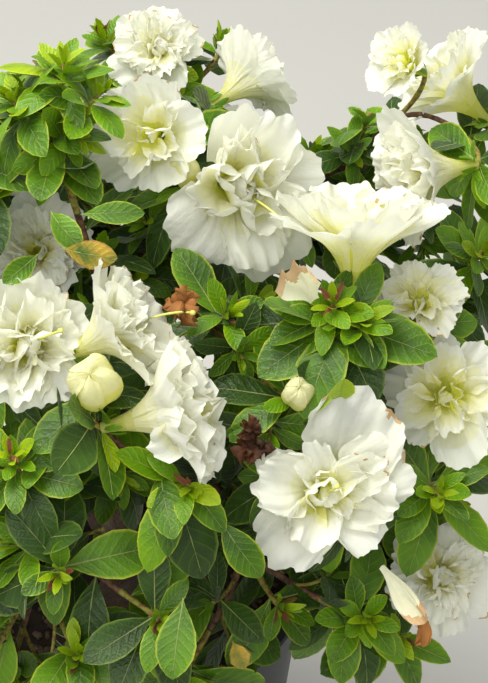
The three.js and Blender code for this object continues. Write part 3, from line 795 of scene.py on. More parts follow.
def grow_mass(start, along, own_heads):
    """The twigs of one mass. Each head, nearest first, joins a twig at the fork that costs least."""
    stem_end = start + along * STEM_LENGTH
    stem = Twig((start, (start + stem_end) / 2, stem_end), (BOUGH_TIP_RADIUS, TWIG_RADIUS))
    forks = [(start + (stem_end - start) * 0.8, along, 0.0, TWIG_RADIUS)]
    twigs = [stem]
    for head in sorted(own_heads, key=lambda head: np.linalg.norm(head.foot - start)):

        def cost(fork):
            step = head.foot - fork[0]
            turn = 1 - unit(step) @ fork[1]
            return np.linalg.norm(step) * (1 + TURNING_COST * turn) + WAY_COST * fork[2]

        at, leaving, way, radius = min(forks, key=cost)
        span = np.linalg.norm(head.foot - at)
        arriving = unit(unit(head.foot - at) + head.face)
        curve = (at, at + leaving * FORK_PULL * span, head.foot - arriving * HEAD_PULL * span, head.foot)
        twig = Twig(curve, (radius, TWIG_TIP_RADIUS), head)
        twigs.append(twig)
        for share in FORK_SHARES:
            forks.append((*twig.at(share), way + share * span, max(TWIG_TIP_RADIUS, 0.8 * radius)))
    return twigs


def swung(first, second, turn):
    """The direction at a turn from one direction towards another one square to it."""
    return first * math.cos(turn) + second * math.sin(turn)


twigs = []
for name, *_ in MASSES:
    tip, along = bezier(bough_lines[name], 1)
    twigs += grow_mass(tip - along * 0.002, along, [head for head in heads if head.mass == name])

side_twigs = []
side_tips = [head.at for head in heads]
for number, twig in enumerate(twigs):
    for k, share in enumerate(SIDE_TWIG_SHARES):
        at, along = twig.at(share)
        turn = 2 * math.pi * chance(number, 12) + k * GOLDEN_ANGLE
        outward = unit(at - CROWN_CENTRE)
        aim = unit(along * 0.5 + outward * 0.5 + UP * 0.25 + swung(*across(along, UP), turn) * 0.9)
        length = between(SIDE_TWIG_LENGTHS, chance(number, k, 13))
        tip = at + aim * length
        step = (tip - CROWN_CENTRE) / (CROWN_HALF_WIDTH, CROWN_HALF_DEPTH, CROWN_RISE)
        crowded = min(np.linalg.norm(tip - other) for other in side_tips) < SIDE_TIP_SPACING
        if step @ step > 1.0 or tip[2] < SIDE_TIPS_ABOVE or crowded or in_flower(tip, SIDE_TIP_CLEARANCE):
            continue
        curve = (at, at + unit(along + aim) * length * 0.5, tip)
        side_twigs.append(Twig(curve, (SIDE_TWIG_RADIUS, 0.8 * SIDE_TWIG_RADIUS)))
        side_tips.append(tip)

shoots = [head for head in heads if head.kind == "shoot"]
leader = shoots[0]
leader_twig = next(twig for twig in twigs if twig.head is leader)
camera_up = np.array((0.0, math.sin(LOOKING_DOWN), math.cos(LOOKING_DOWN)))
spurs = []
for right, up in LEADER_SPURS:
    at, along = leader_twig.at(SPURS_LEAVE)
    tip = leader.at + (right, 0.0, 0.0) + up * camera_up
    spurs.append(Twig((at, (at + tip) / 2 + along * 0.003, tip), (SIDE_TWIG_RADIUS, 0.8 * SIDE_TWIG_RADIUS)))

# Ripe wood is brown and dull. New wood is yellow-green with a reddish down.
ripe_wood = fibrous_material("ripe_twig_bark", 420.0, 6.0, 0.35, 0.65, "3c2418", "7e5a40", 0.7, 0.3, 0.82)
new_wood = fibrous_material("new_twig_skin", 650.0, 5.0, 0.42, 0.66, "8c8a35", "6b3f22", 0.5, 0.25, 0.7)

twig_rod, side_rod = rod_model(*TWIG_ROD), rod_model(*SIDE_ROD)
wood = Gathered()
for number, twig in enumerate(twigs):
    knots = lambda share: 1 + 0.14 * math.sin(share * 40 + number) * math.sin(share * 17)
    rough = lambda share: twig.radius(share) * knots(share)
    ripe = twig_rod.patterns[np.cumsum(twig_rod.sizes) - 1, 1] > (RIPE_SHARE if twig.head else 2)
    wood.add(twig_rod, laid_along(twig_rod, twig.curve, rough), ripe.astype(int))
for twig in side_twigs + spurs:
    wood.add(side_rod, laid_along(side_rod, twig.curve, twig.radius), 1)
wood = wood.piece("twigs", ripe_wood, new_wood)
fit(wood, "foliage", *[f"foliage_{name}" for name, *_ in MASSES])

# Leaves. Evergreen blades up to 43 mm long, widest past the middle, folded a little along a sunken
# midrib, satin and downy. Old ones are dark, this spring's are yellow-green, narrow and still upright.
LEAF_ROWS = 9
LEAF_COLUMNS = 4
SMALL_LEAF_ROWS = 5
SMALL_LEAF_COLUMNS = 2
SMALL_LEAF_LENGTH = 0.013
LEAF_WIDTH_SHARE = 0.5
RIB_ROWS = 5
RIB_WIDTH_SHARE = 0.018
RIB_LENGTH_SHARE = 0.94
# Bends of the leaf models: fold at the midrib, curl down across, droop along, twist in radians, and wave
LEAF_BENDS = [
    (0.16, 0.10, 0.16, 0.10, 0.02),
    (0.10, 0.20, 0.26, -0.15, 0.03),
    (0.26, 0.05, 0.10, 0.25, 0.04),
    (0.06, 0.26, 0.34, 0.0, 0.02),
    (0.20, 0.12, 0.05, -0.3, 0.05),
    (0.14, 0.16, 0.42, 0.18, 0.03),
]


def leaf_half_width(along):
    """Half the width at a share of the length: a short stalk, then a blade that is widest past its middle."""
    blade = max(0.0, (along - 0.07) / 0.93)
    return max(0.022, 0.5 * math.sin(math.pi * min(1.0, blade) ** 1.3) ** 0.62)


def leaf_place(x, along, bends):
    """Where a point of a flat leaf goes once the leaf is folded, curled, drooped, twisted and waved."""
    fold, curl, droop, twist, wave = bends
    lift = fold * abs(x) - curl * 2.2 * x * x + wave * math.sin(9 * along + 2) * (2 * abs(x)) ** 2
    turn = twist * along
    rise = droop * (0.9 * along - 1.7 * along * along)
    side = x * LEAF_WIDTH_SHARE
    up = lift * LEAF_WIDTH_SHARE
    over = side * math.cos(turn) - up * math.sin(turn)
    return over, along, side * math.sin(turn) + up * math.cos(turn) + rise


def leaf_model(bends, columns, rows, rib=False):
    """One leaf of unit length, its stalk at the origin: the blade, or the raised midrib on it."""
    leaf = bmesh.new()
    bmesh.ops.create_grid(leaf, x_segments=columns, y_segments=rows, size=1)
    patterns = {}
    for corner in leaf.verts:
        x, y = corner.co.x, corner.co.y
        along = 0.5 - 0.5 * math.cos(math.pi * (y + 1) / 2)
        if rib:
            along *= RIB_LENGTH_SHARE
            place = leaf_place(x * RIB_WIDTH_SHARE * (1.15 - along), along, bends)
            corner.co = (place[0], place[1], place[2] + (0.010 if abs(x) < 0.5 else 0.001))
        else:
            corner.co = leaf_place(x * leaf_half_width(along), along, bends)
            if along > 0.999:
                corner.co.y += 0.015 * (1 - abs(x))
        patterns[tuple(corner.co)] = ((x + 1) / 2, along)
    return Model(leaf, lambda co: patterns[tuple(co)])


def leaf_material(name, dark, light, margin, gloss, glow, down=0.15, patch_scale=55.0):
    """A living leaf: two tones in soft patches, sunken side veins, a paler margin, and light through it."""
    material, tree, where = new_material(name)
    flat = add_node(tree, "SeparateXYZ", {0: where["UV"]})
    middle = add_node(tree, "Math", {0: flat.outputs["X"], 1: 0.5}, operation="SUBTRACT")
    out = add_node(tree, "Math", {0: middle}, operation="ABSOLUTE")
    swept = add_node(tree, "Math", {0: out, 1: -3.4}, operation="MULTIPLY")
    pairs = add_node(tree, "Math", {0: flat.outputs["Y"], 1: 8.0, 2: swept}, operation="MULTIPLY_ADD")
    wave = add_node(tree, "Math", {0: pairs, 1: 0.5}, operation="PINGPONG")
    veins, quilt = (
        add_node(tree, "MapRange", {0: wave, 1: 0.0, 2: wide, 3: on, 4: off}, interpolation_type="SMOOTHSTEP")
        for wide, on, off in ((0.09, 1.0, 0.0), (0.35, 0.0, 0.6))
    )
    patches = add_node(tree, "TexNoise", {"Vector": where["Object"], "Scale": patch_scale, "Detail": 5.0})
    net = add_node(
        tree, "TexVoronoi", {"Vector": where["Object"], "Scale": 620.0}, feature="DISTANCE_TO_EDGE"
    )
    uneven = add_node(tree, "MapRange", {0: patches, 1: 0.34, 2: 0.66, 3: -0.1, 4: 0.8})
    outward = add_node(tree, "Math", {0: out, 1: 0.7, 2: uneven}, operation="MULTIPLY_ADD")
    share = add_node(tree, "MapRange", {0: outward})
    tone = add_node(tree, "Mix", {0: share, 6: dark, 7: light}, data_type="RGBA")
    veined = add_node(tree, "Math", {0: veins, 1: 0.2}, operation="MULTIPLY")
    edge = add_node(tree, "MapRange", {0: out, 1: 0.43, 2: 0.5, 3: 0.0, 4: 0.8})
    paler = add_node(tree, "Math", {0: veined, 1: edge}, operation="MAXIMUM")
    tone = add_node(tree, "Mix", {0: paler, 6: tone, 7: margin}, data_type="RGBA")
    cells = add_node(tree, "MapRange", {0: net, 1: 0.0, 2: 0.25, 3: 0.0, 4: 0.4})
    relief = add_node(tree, "Math", {0: cells, 1: quilt}, operation="ADD")
    bump = add_node(tree, "Bump", {"Height": relief, "Strength": 0.5, "Distance": 0.4 * MILLIMETRE})
    skin = {"Base Color": tone, "Roughness": gloss, "IOR": 1.4, "Normal": bump}
    shader = add_node(tree, "BsdfPrincipled", {**skin, "Sheen Weight": down, "Sheen Roughness": 0.4})
    through = add_node(tree, "BsdfTranslucent", {"Color": glow})
    both = add_node(tree, "MixShader", {0: 0.14, 1: shader, 2: through})
    add_node(tree, "OutputMaterial", {"Surface": both})
    return material


# The leaf's own greens: last year's, this year's, the newest at the heart of a whorl, the few that turn
# yellow before they drop, and the dry red-brown scales that the new shoots burst from.
leaf_finishes = {
    "old": leaf_material("old_leaf", "1f360c", "365513", "7b9234", 0.38, "5f8a1c", 0.2),
    "mature": leaf_material("mature_leaf", "305409", "5e8a12", "b6bf34", 0.38, "7cac14", 0.1),
    "fresh": leaf_material("fresh_leaf", "4f7c05", "709c0a", "bcc430", 0.36, "98c80c", 0.03),
    "young": leaf_material("young_leaf", "7c9e04", "a0ba0c", "ccd034", 0.40, "bcd810", 0.03),
    "turning": leaf_material("turning_leaf", "3f5f1a", "b8982e", "7c4626", 0.5, "a8902c", 0.15, 140.0),
    "scale": leaf_material("dry_bud_scale", "5e2f1c", "8c5230", "a8713f", 0.6, "8c5030"),
}
# The midrib: pale yellow-green, a thin light line along each leaf.
rib_skin = leaf_material("leaf_midrib", "8f9f52", "a9b468", "b9c27a", 0.45, "a8c050")

blade_models = [leaf_model(bends, LEAF_COLUMNS, LEAF_ROWS) for bends in LEAF_BENDS]
small_blade_models = [leaf_model(bends, SMALL_LEAF_COLUMNS, SMALL_LEAF_ROWS) for bends in LEAF_BENDS]
rib_models = [leaf_model(bends, 2, RIB_ROWS, rib=True) for bends in LEAF_BENDS]
leaves = {finish: Gathered() for finish in leaf_finishes}
ribs = Gathered()
gap_places = np.array([on_crown(*row[:3]) for row in SIGHT_GAPS])
gap_radii, gap_depths = np.array([row[3:] for row in SIGHT_GAPS]).T


def in_sight_gap(place):
    """Whether a place lies on a line of sight into one of the crown's open places."""
    along, out = off_sight_line(place, gap_places)
    return bool(np.any((out < gap_radii) & (along > -gap_depths)))


def add_leaf(root, along, face, length, finish, seed, width=1.0, may_hide=False):
    """Adds a leaf, unless it would lie in a flower or an open place, or cover a flower of the front."""
    for share in (0.45, 0.75, 1.0):
        place = root + along * length * share
        if in_flower(place) or in_sight_gap(place) or (not may_hide and hides_flower(place)):
            return
    put_leaf(root, along, face, length, finish, seed, width)


def put_leaf(root, along, face, length, finish, seed, width=1.0):
    """Adds one leaf, with one of the bends, rolled a little about its midrib."""
    side, lift = across(along, face)
    roll = between((-0.35, 0.35), chance(seed, 21))
    side, lift = swung(side, lift, roll), lift * math.cos(roll) - side * math.sin(roll)
    number = int(len(LEAF_BENDS) * chance(seed, 22))
    size = np.array((side * length * width, along * length, lift * length))
    small = length < SMALL_LEAF_LENGTH
    blade = (small_blade_models if small else blade_models)[number]
    leaves[finish].add(blade, blade.corners @ size + root)
    if not small:
        ribs.add(rib_models[number], rib_models[number].corners @ size + root)


# Whorls: rings of leaves from the lowest, widest one to the upright ones at the heart. Each ring has a
# count, a tilt from the shoot in degrees, a length as a share of the longest leaf's, a width, and a finish.
SHOOT_RINGS = [
    (4, 94, 0.98, 1.0, "old"),
    (4, 80, 0.86, 1.0, "mature"),
    (5, 62, 0.62, 0.95, "mature"),
    (5, 44, 0.46, 0.85, "fresh"),
    (4, 26, 0.36, 0.72, "young"),
    (3, 10, 0.26, 0.62, "young"),
]
# Shoots still at rest: dark leaves round one pointed bud
RESTING_RINGS = [(4, 96, 0.98, 1.0, "old"), (4, 80, 0.86, 1.0, "old"), (4, 60, 0.5, 0.95, "mature")]
RESTING = (8, 10, 13, 14, 19, 20)
RESTING_SHARE = 0.9
# The photographed side's tallest shoot is longer and more crowded
LEADER_RINGS = [
    (4, 112, 0.62, 0.95, "mature"),
    (5, 98, 0.84, 1.0, "mature"),
    (6, 82, 0.84, 1.0, "mature"),
    (5, 62, 0.6, 1.0, "mature"),
    (6, 40, 0.46, 0.85, "fresh"),
    (5, 26, 0.36, 0.75, "young"),
    (4, 12, 0.28, 0.65, "young"),
]
LEADER_STEP = 0.0032
LEADER_LEAN = 0.35
SPUR_RINGS = [
    (5, 84, 1.0, 1.0, "mature"),
    (5, 64, 0.9, 0.95, "fresh"),
    (5, 46, 0.64, 0.85, "fresh"),
    (4, 26, 0.46, 0.7, "young"),
    (3, 10, 0.36, 0.6, "young"),
]
SPUR_LEAF_LENGTH = 0.024
COLLAR_RINGS = [(4, 100, 0.98, 1.0, "old"), (4, 84, 0.84, 1.0, "mature"), (3, 66, 0.5, 0.8, "fresh")]
SIDE_RINGS = [
    (4, 84, 1.0, 1.0, "old"),
    (4, 62, 0.72, 0.9, "mature"),
    (3, 38, 0.46, 0.8, "fresh"),
    (2, 16, 0.3, 0.7, "young"),
]
# Whorls of side twigs low in the crown take the darker finishes of older leaves as painted shade of the lower
# crown
SHADED_FINISHES = ("old", "old", "old", "mature")
SHADED_SIDE_RINGS = [(*ring[:4], finish) for ring, finish in zip(SIDE_RINGS, SHADED_FINISHES)]
SHADED_BELOW = 0.29
COLLAR_LENGTH = 0.034
SIDE_LEAF_LENGTHS = (0.020, 0.032)
STEM_LEAF_LENGTH = 0.032
RING_STEP = 0.0021
LEAF_EVERY = 0.011
TURNING_SHARE = 0.012
# How far the leaves of a ring depart from it: round the twig in radians, in tilt in degrees, and in length
# and width as shares
ROUND_SPREAD = (-0.35, 0.35)
TILT_SPREAD = (-12, 12)
LENGTH_SPREAD = (0.82, 1.06)
WIDTH_SPREAD = (0.85, 1.1)
# The part of a twig that carries single leaves, and how many of those are last year's
LEAFY_PART = (0.45, 0.94)
OLD_LEAF_SHARE = 0.65
SEPALS = 5
SEPAL_LENGTHS = (0.007, 0.010)
RESTING_LEAFLETS = 9
# Here and there a leaf is a step younger than the rest of its ring
YOUNGER = {"old": "mature", "mature": "fresh", "fresh": "young", "young": "young"}
YOUNGER_SHARE = 0.22


def add_whorl(twig, rings, face, longest, seed, may_hide=False, step=RING_STEP):
    """The rings of leaves at a twig's end, each ring further down the twig than the next."""
    side, lift = across(face, UP)
    for ring, (count, tilt, share, width, finish) in enumerate(rings):
        below = (len(rings) - ring - 1) * step + RING_STEP / 2
        root = twig.at(max(0.0, 1 - below / twig.length))[0]
        for k in range(count):
            key = (seed, ring, k)
            evenly = 2 * math.pi * (k + 0.5 * ring) / count + 2 * math.pi * chance(seed, 5)
            around = evenly + between(ROUND_SPREAD, chance(*key, 6))
            tilted = math.radians(tilt + between(TILT_SPREAD, chance(*key, 7)))
            along = unit(swung(face, swung(side, lift, around), tilted))
            length = longest * share * between(LENGTH_SPREAD, chance(*key, 8))
            chosen = YOUNGER[finish] if chance(*key, 9) < YOUNGER_SHARE else finish
            if ring == 0 and finish == "old" and not may_hide and chance(*key, 10) < TURNING_SHARE:
                chosen = "turning"
            bend = int(1e6 * chance(*key, 11))
            wide = width * between(WIDTH_SPREAD, chance(*key, 12))
            add_leaf(root, along, unit(face + 0.5 * UP), length, chosen, bend, wide, may_hide)


def add_scales(twig, face, seed):
    """Dry scales round the heart of a whorl."""
    side, lift = across(face, UP)
    for k in range(int(5 * chance(seed, 23))):
        around = 2 * math.pi * chance(seed, k, 24)
        tilt = between((0.5, 1.1), chance(seed, k, 25))
        along = unit(swung(face, swung(side, lift, around), tilt))
        length = between((0.005, 0.009), chance(seed, k, 26))
        add_leaf(twig.at(1)[0], along, face, length, "scale", int(1e6 * chance(seed, k, 27)), 0.5, True)


def add_leaves_below(twig, seed):
    """Single leaves up a twig, each a golden angle round from the last."""
    first, last = LEAFY_PART
    steps = int(twig.length * (last - first) / LEAF_EVERY)
    for k in range(steps):
        at, along = twig.at(first + (last - first) * k / max(1, steps))
        around = k * GOLDEN_ANGLE + 2 * math.pi * chance(seed, 14)
        out = swung(*across(along, UP), around)
        length = STEM_LEAF_LENGTH * between((0.7, 1.05), chance(seed, k, 15))
        finish = "old" if chance(seed, k, 16) < OLD_LEAF_SHARE else "mature"
        add_leaf(at, unit(out + along * 0.5 + UP * 0.15), UP, length, finish, int(1e6 * chance(seed, k, 17)))


def add_calyx(head, seed):
    """Small sepals round the foot of a flower or a bud."""
    for k in range(SEPALS):
        around = 2 * math.pi * (k + 0.4 * chance(seed, k, 28)) / SEPALS
        out = swung(head.side, head.lift, around)
        along = unit(head.face + 0.5 * out)
        length = between(SEPAL_LENGTHS, chance(seed, k, 29))
        put_leaf(head.foot + out * 0.0012, along, out, length, "fresh", int(1e6 * chance(seed, k, 30)), 0.62)


def add_resting_bud(head, seed):
    """The pointed bud at the heart of a resting shoot: a cone of narrow leaflets and brown scales."""
    for k in range(RESTING_LEAFLETS):
        inward = k / (RESTING_LEAFLETS - 1)
        out = swung(head.side, head.lift, k * GOLDEN_ANGLE)
        along = unit(head.face + between((0.05, 0.5), inward) * out)
        length = between((0.013, 0.008), inward)
        finish = "scale" if k > 6 else "fresh" if k % 2 else "young"
        put_leaf(head.at + out * 0.001, along, -out, length, finish, 10 * seed + k, 0.55)


resting = [shoots[number] for number in RESTING]
leader_face = unit(leader.face + LEADER_LEAN * sight_line)
for number, spur in enumerate(spurs):
    outward = unit(spur.at(1)[0] - leader.at)
    add_whorl(spur, SPUR_RINGS, unit(leader_face + outward), SPUR_LEAF_LENGTH, 2000 + number, True)
for number, twig in enumerate(twigs):
    if twig.head is None:
        continue
    if twig.head.kind == "shoot":
        if twig.head is leader:
            add_whorl(twig, LEADER_RINGS, leader_face, leader.size, number, True, LEADER_STEP)
        elif twig.head in resting:
            add_whorl(twig, RESTING_RINGS, twig.head.face, RESTING_SHARE * twig.head.size, number, True)
            add_resting_bud(twig.head, number)
        else:
            add_whorl(twig, SHOOT_RINGS, twig.head.face, twig.head.size, number, twig.head.front)
        add_scales(twig, twig.head.face, number)
    else:
        add_whorl(twig, COLLAR_RINGS, twig.head.face, COLLAR_LENGTH, number)
        add_calyx(twig.head, number)
    add_leaves_below(twig, number)
for number, twig in enumerate(side_twigs):
    tip, along = twig.at(1)
    # Whorls below this height get the darker finishes as painted shade
    rings = SHADED_SIDE_RINGS if tip[2] < SHADED_BELOW else SIDE_RINGS
    add_whorl(twig, rings, along, between(SIDE_LEAF_LENGTHS, chance(number, 18)), 1000 + number)

# Leaves of the front that stand by themselves: azimuth, elevation and reach of the stalk on the crown, the
# azimuth and elevation the leaf points to, its length, width and finish
SINGLE_LEAVES = [
    (-100, 61, 1.12, -30, 8, 0.020, 1.05, "turning"),
    (-97, 66, 1.13, -10, 10, 0.0225, 0.75, "mature"),
    (-106, 66, 1.13, -60, -10, 0.018, 1.1, "mature"),
    (-106, 60, 1.11, -130, -10, 0.017, 1.0, "mature"),
    (-73, -2, 1.02, -60, -30, 0.011, 1.5, "turning"),
    (-50, 33, 1.02, -80, 60, 0.019, 1.0, "young"),
    (-74, 22.5, 1.06, -45, -38, 0.025, 1.0, "mature"),
    (-80, 12, 1.09, -100, -34, 0.028, 1.05, "mature"),
]
for number, (azimuth, elevation, reach, towards, upward, length, width, finish) in enumerate(SINGLE_LEAVES):
    root = on_crown(azimuth, elevation, reach)
    put_leaf(root, direction(towards, upward), sight_line, length, finish, number, width)

for finish, gathered in leaves.items():
    fit(gathered.piece(f"leaves_{finish}", leaf_finishes[finish]), "foliage")
fit(ribs.piece("leaf_midribs", rib_skin), "foliage")

# Flowers. Double blooms, one corolla in another, white with a cream-green throat, partly its own tint and
# partly painted glow of light through the petals. Each whorl's lobes are one tube below and five or so wavy
# lobes above, thin and soft, some browned at the edge by rain.
NEAR_LOBE_GRID = (32, 16)
FAR_LOBE_GRID = (15, 10)
TUFT_GRID = (9, 8)

# Whorls of each form, outermost first: how many lobes, where the whorl starts down the tube, rim radius and
# rim height as shares of the flower's width, how steeply a lobe rises at its rim in degrees, how much it is
# cupped, how ruffled it is, and how far its lobes differ from each other
BLOOM_FORMS = {
    "open": [(5, 1.0, 0.54, -0.03, 2, 0.03, 1.2, 0.24), (5, 0.75, 0.38, 0.03, 22, 0.07, 1.5, 0.36)],
    "trumpet": [(5, 1.0, 0.49, 0.0, 40, 0.05, 1.1, 0.10), (5, 0.75, 0.36, 0.06, 56, 0.10, 1.5, 0.22)],
    "rose": [
        (6, 1.0, 0.50, -0.03, 10, 0.08, 1.1, 0.14),
        (6, 0.75, 0.38, 0.05, 34, 0.14, 1.5, 0.22),
        (5, 0.6, 0.27, 0.10, 56, 0.20, 1.6, 0.28),
    ],
    "hose": [
        (5, 1.0, 0.52, -0.08, 6, 0.03, 0.8, 0.14),
        (5, 0.8, 0.42, 0.06, 30, 0.08, 1.6, 0.34),
        (4, 0.65, 0.29, 0.10, 50, 0.14, 1.8, 0.42),
    ],
    "frilled": [
        (5, 1.0, 0.47, 0.0, 38, 0.05, 1.3, 0.10),
        (5, 0.8, 0.41, 0.05, 40, 0.10, 2.0, 0.22),
        (4, 0.7, 0.32, 0.10, 50, 0.14, 2.2, 0.3),
    ],
    "bowl": [(6, 1.0, 0.52, -0.02, 16, 0.07, 1.3, 0.16), (5, 0.75, 0.38, 0.05, 44, 0.14, 1.6, 0.24)],
    "crumpled": [
        (5, 1.0, 0.50, -0.03, 12, 0.02, 1.7, 0.18),
        (5, 0.75, 0.39, 0.05, 30, 0.05, 2.2, 0.26),
        (5, 0.6, 0.28, 0.08, 48, 0.08, 2.3, 0.32),
    ],
}
# Of each form: how many petal-like stamens it has and their length as a share of the width, the share of
# its lobes that browned, how far the cream and green of the throat reach up them, and how many degrees
# steeper its upper lobes stand than its lower ones
Traits = namedtuple("Traits", "stamens stamen_length browned blush nod")
TRAITS = {
    "open": Traits(9, 0.25, 0.4, 0.0, 8),
    "trumpet": Traits(6, 0.22, 0.1, 0.16, 8),
    "rose": Traits(10, 0.26, 0.15, 0.16, 10),
    "hose": Traits(8, 0.26, 0.12, 0.06, 30),
    "frilled": Traits(10, 0.27, 0.2, 0.04, 10),
    "bowl": Traits(5, 0.18, 0.1, 0.26, 10),
    "crumpled": Traits(9, 0.24, 0.6, 0.0, 10),
}
SPECK_SHARE = 0.005
# How far up a lobe each of the throat's tones, its own tint brightened with painted glow, gives way to the
# next paler one
THROAT_STEPS = (0.12, 0.24, 0.38, 0.54)
# Where a front flower's outer lobes leave a gap, by its order: degrees round from its right, and half width
LOBE_GAPS = {5: (158, 38)}


def lobe_lattice(columns, rows):
    """A flat grid whose pattern places run across a lobe and up it, with its rows closer towards the rim."""
    lattice = bmesh.new()
    bmesh.ops.create_grid(lattice, x_segments=columns, y_segments=rows, size=1)
    for corner in lattice.verts:
        corner.co.y = 1 - ((1 - corner.co.y) / 2) ** 1.35
    return Model(lattice, lambda co: ((co.x + 1) / 2, co.y))


def smooth_step(low, high, value):
    share = np.clip((value - low) / (high - low), 0, 1)
    return share * share * (3 - 2 * share)


def ripple(u, v, seed, pace):
    """An irregular wave over a petal, from three sines with seeded directions."""
    total = 0
    for k in range(3):
        fast = pace * (1 + 0.9 * k)
        sweep = 1.6 * (chance(seed, k, 42) - 0.5) * pace
        total = total + np.sin(fast * u + sweep * v + 2 * math.pi * chance(seed, k, 41)) / (1 + 0.7 * k)
    return total / 2


def on_meridian(control, share):
    """Places and slopes on a cubic curve in the plane of radius and height, for an array of shares."""
    points = [np.asarray(point, float)[None, :] for point in control]
    share = share[:, None]
    while len(points) > 2:
        points = [a + (b - a) * share for a, b in zip(points, points[1:])]
    slope = points[1] - points[0]
    return points[0] + slope * share, slope / np.maximum(np.linalg.norm(slope, axis=1), 1e-9)[:, None]


def lobe_places(u, v, head, turn, whorl, seed):
    """Where the points of one lobe go: up the tube, out over the rim, cupped, creased and ruffled."""
    lobes, start, radius, rim, steep, cup, ruffle, vary = whorl
    size = head.size
    length = 1 + vary * between((-1.1, 0.5), chance(seed, 31))
    turn = turn + 1.4 * vary * between((-1, 1), chance(seed, 34))
    upright = head.lift[2] * math.sin(turn) + head.side[2] * math.cos(turn)
    nod = TRAITS[head.form].nod * upright
    steepness = math.radians(steep + 130 * vary * (chance(seed, 32) - 0.5) + nod)
    rim_at = np.array((radius * size * length, rim * size))
    reach = 0.62 * (radius - 0.06) * size
    bottom = -BLOOM_DEPTH * size * start
    # The lobe's long section: from the foot of the tube, up the tube, and out over the rim
    control = (
        (0.035 * size, bottom),
        (between((0.09, 0.05), start) * size, 0.4 * bottom),
        rim_at - reach * np.array((math.cos(steepness), math.sin(steepness))),
        rim_at,
    )
    edge = smooth_step(0.5, 1.0, v)
    rounding = 0.18 * np.abs(u) ** 2.6 * edge
    scallop = (0.035 * ripple(u, 0, seed + 1, 5.0) + 0.025 * ripple(u, 0, seed + 6, 15.0)) * edge
    meridian, slope = on_meridian(control, np.clip(v * (1 - rounding + scallop), 0, 1.2))
    normal = np.stack((-slope[:, 1], slope[:, 0]), axis=1)
    lobe = smooth_step(0.25, 0.8, v)
    wide = between((0.8, 1.2), chance(seed, 36))
    broad = 1.05 + 0.42 * smooth_step(0.4, 0.75, v) * wide - (0.14 + vary) * smooth_step(0.75, 1.0, v)
    half = math.pi / lobes * broad
    around = turn + u * half + 0.05 * ripple(v, u, seed + 8, 7.0) * np.abs(u) ** 2 * lobe
    margin = np.maximum(v, np.abs(u) * lobe) ** 4
    # Off that section: the cup, a slight tilt, the crease down the middle, slow waves, three ruffles from
    # coarse to fine, and how the tip curls
    offset = size * (
        cup * (u * u - 0.3) * lobe
        + 0.02 * u * lobe
        - 0.010 * np.exp(-((u / 0.12) ** 2)) * lobe
        + 0.032 * ripple(u, v, seed + 3, 2.4) * lobe * v
        + 0.024 * ruffle * margin * ripple(u, v, seed + 2, 9.0)
        + 0.012 * ruffle * margin**2 * ripple(u, v, seed + 7, 14.0)
        + 0.009 * ruffle * lobe * ripple(u + 0.3 * v, 2 * v, seed + 5, 7.0)
        - between((-0.02, 0.06), chance(seed, 33)) * v**6
    )
    out = meridian + normal * offset[:, None]
    radial = np.cos(around)[:, None] * head.side + np.sin(around)[:, None] * head.lift
    return head.at + radial * out[:, :1] + out[:, 1:] * head.face


def cell_middles(lattice):
    """Where the middle of each cell of a lattice lies across and up the lobe."""
    last = np.cumsum(lattice.sizes)
    cells = [lattice.patterns[end - n : end].mean(axis=0) for end, n in zip(last, lattice.sizes)]
    return np.array(cells) * (2, 1) - (1, 0)


def lobe_kinds(middles, seed, blush, browned):
    """The finish of each cell: five steps from the green throat, whose tint is partly painted glow, to white,
    or browned in stretches of the rim.
    """
    u, v = middles.T
    height = v - blush - 0.03 * ripple(u, 0, seed + 9, 6.0) + 0.05 * np.abs(u)
    kinds = 4 - np.digitize(height, THROAT_STEPS)
    tired = chance(seed, 35) < browned
    worn = ripple(u, 0, seed + 4, 6.0)
    rim = (worn > 0.4) & (v > 0.985 - 0.03 * (worn - 0.4))
    specks = (np.random.default_rng(seed).random(len(u)) < SPECK_SHARE) & (v > 0.45)
    return np.where(tired & (rim | specks), 5, kinds)


def petal_material(name, base, patch, glow, through_share):
    """A petal: thin, soft and matt, faintly veined and creased along its length, with light through it."""
    material, tree, where = new_material(name)
    fan = add_node(tree, "Mapping", {"Vector": where["UV"], "Scale": (13.0, 1.4, 1.0)})
    veins = add_node(tree, "TexNoise", {"Vector": fan, "Scale": 1.0, "Detail": 4.0})
    clouds = add_node(tree, "TexNoise", {"Vector": where["Object"], "Scale": 55.0, "Detail": 2.0})
    crinkle = add_node(tree, "TexNoise", {"Vector": where["Object"], "Scale": 380.0, "Detail": 3.0})
    share = add_node(tree, "MapRange", {0: clouds, 1: 0.4, 2: 0.7})
    tone = add_node(tree, "Mix", {0: share, 6: base, 7: patch}, data_type="RGBA")
    relief = add_node(tree, "Math", {0: crinkle, 1: 0.5, 2: veins}, operation="MULTIPLY_ADD")
    bump = add_node(tree, "Bump", {"Height": relief, "Strength": 0.8, "Distance": 0.9 * MILLIMETRE})
    skin = {"Base Color": tone, "Roughness": 0.6, "IOR": 1.36, "Normal": bump}
    shader = add_node(tree, "BsdfPrincipled", skin)
    through = add_node(tree, "BsdfTranslucent", {"Color": glow})
    both = add_node(tree, "MixShader", {0: through_share, 1: shader, 2: through})
    add_node(tree, "OutputMaterial", {"Surface": both})
    return material
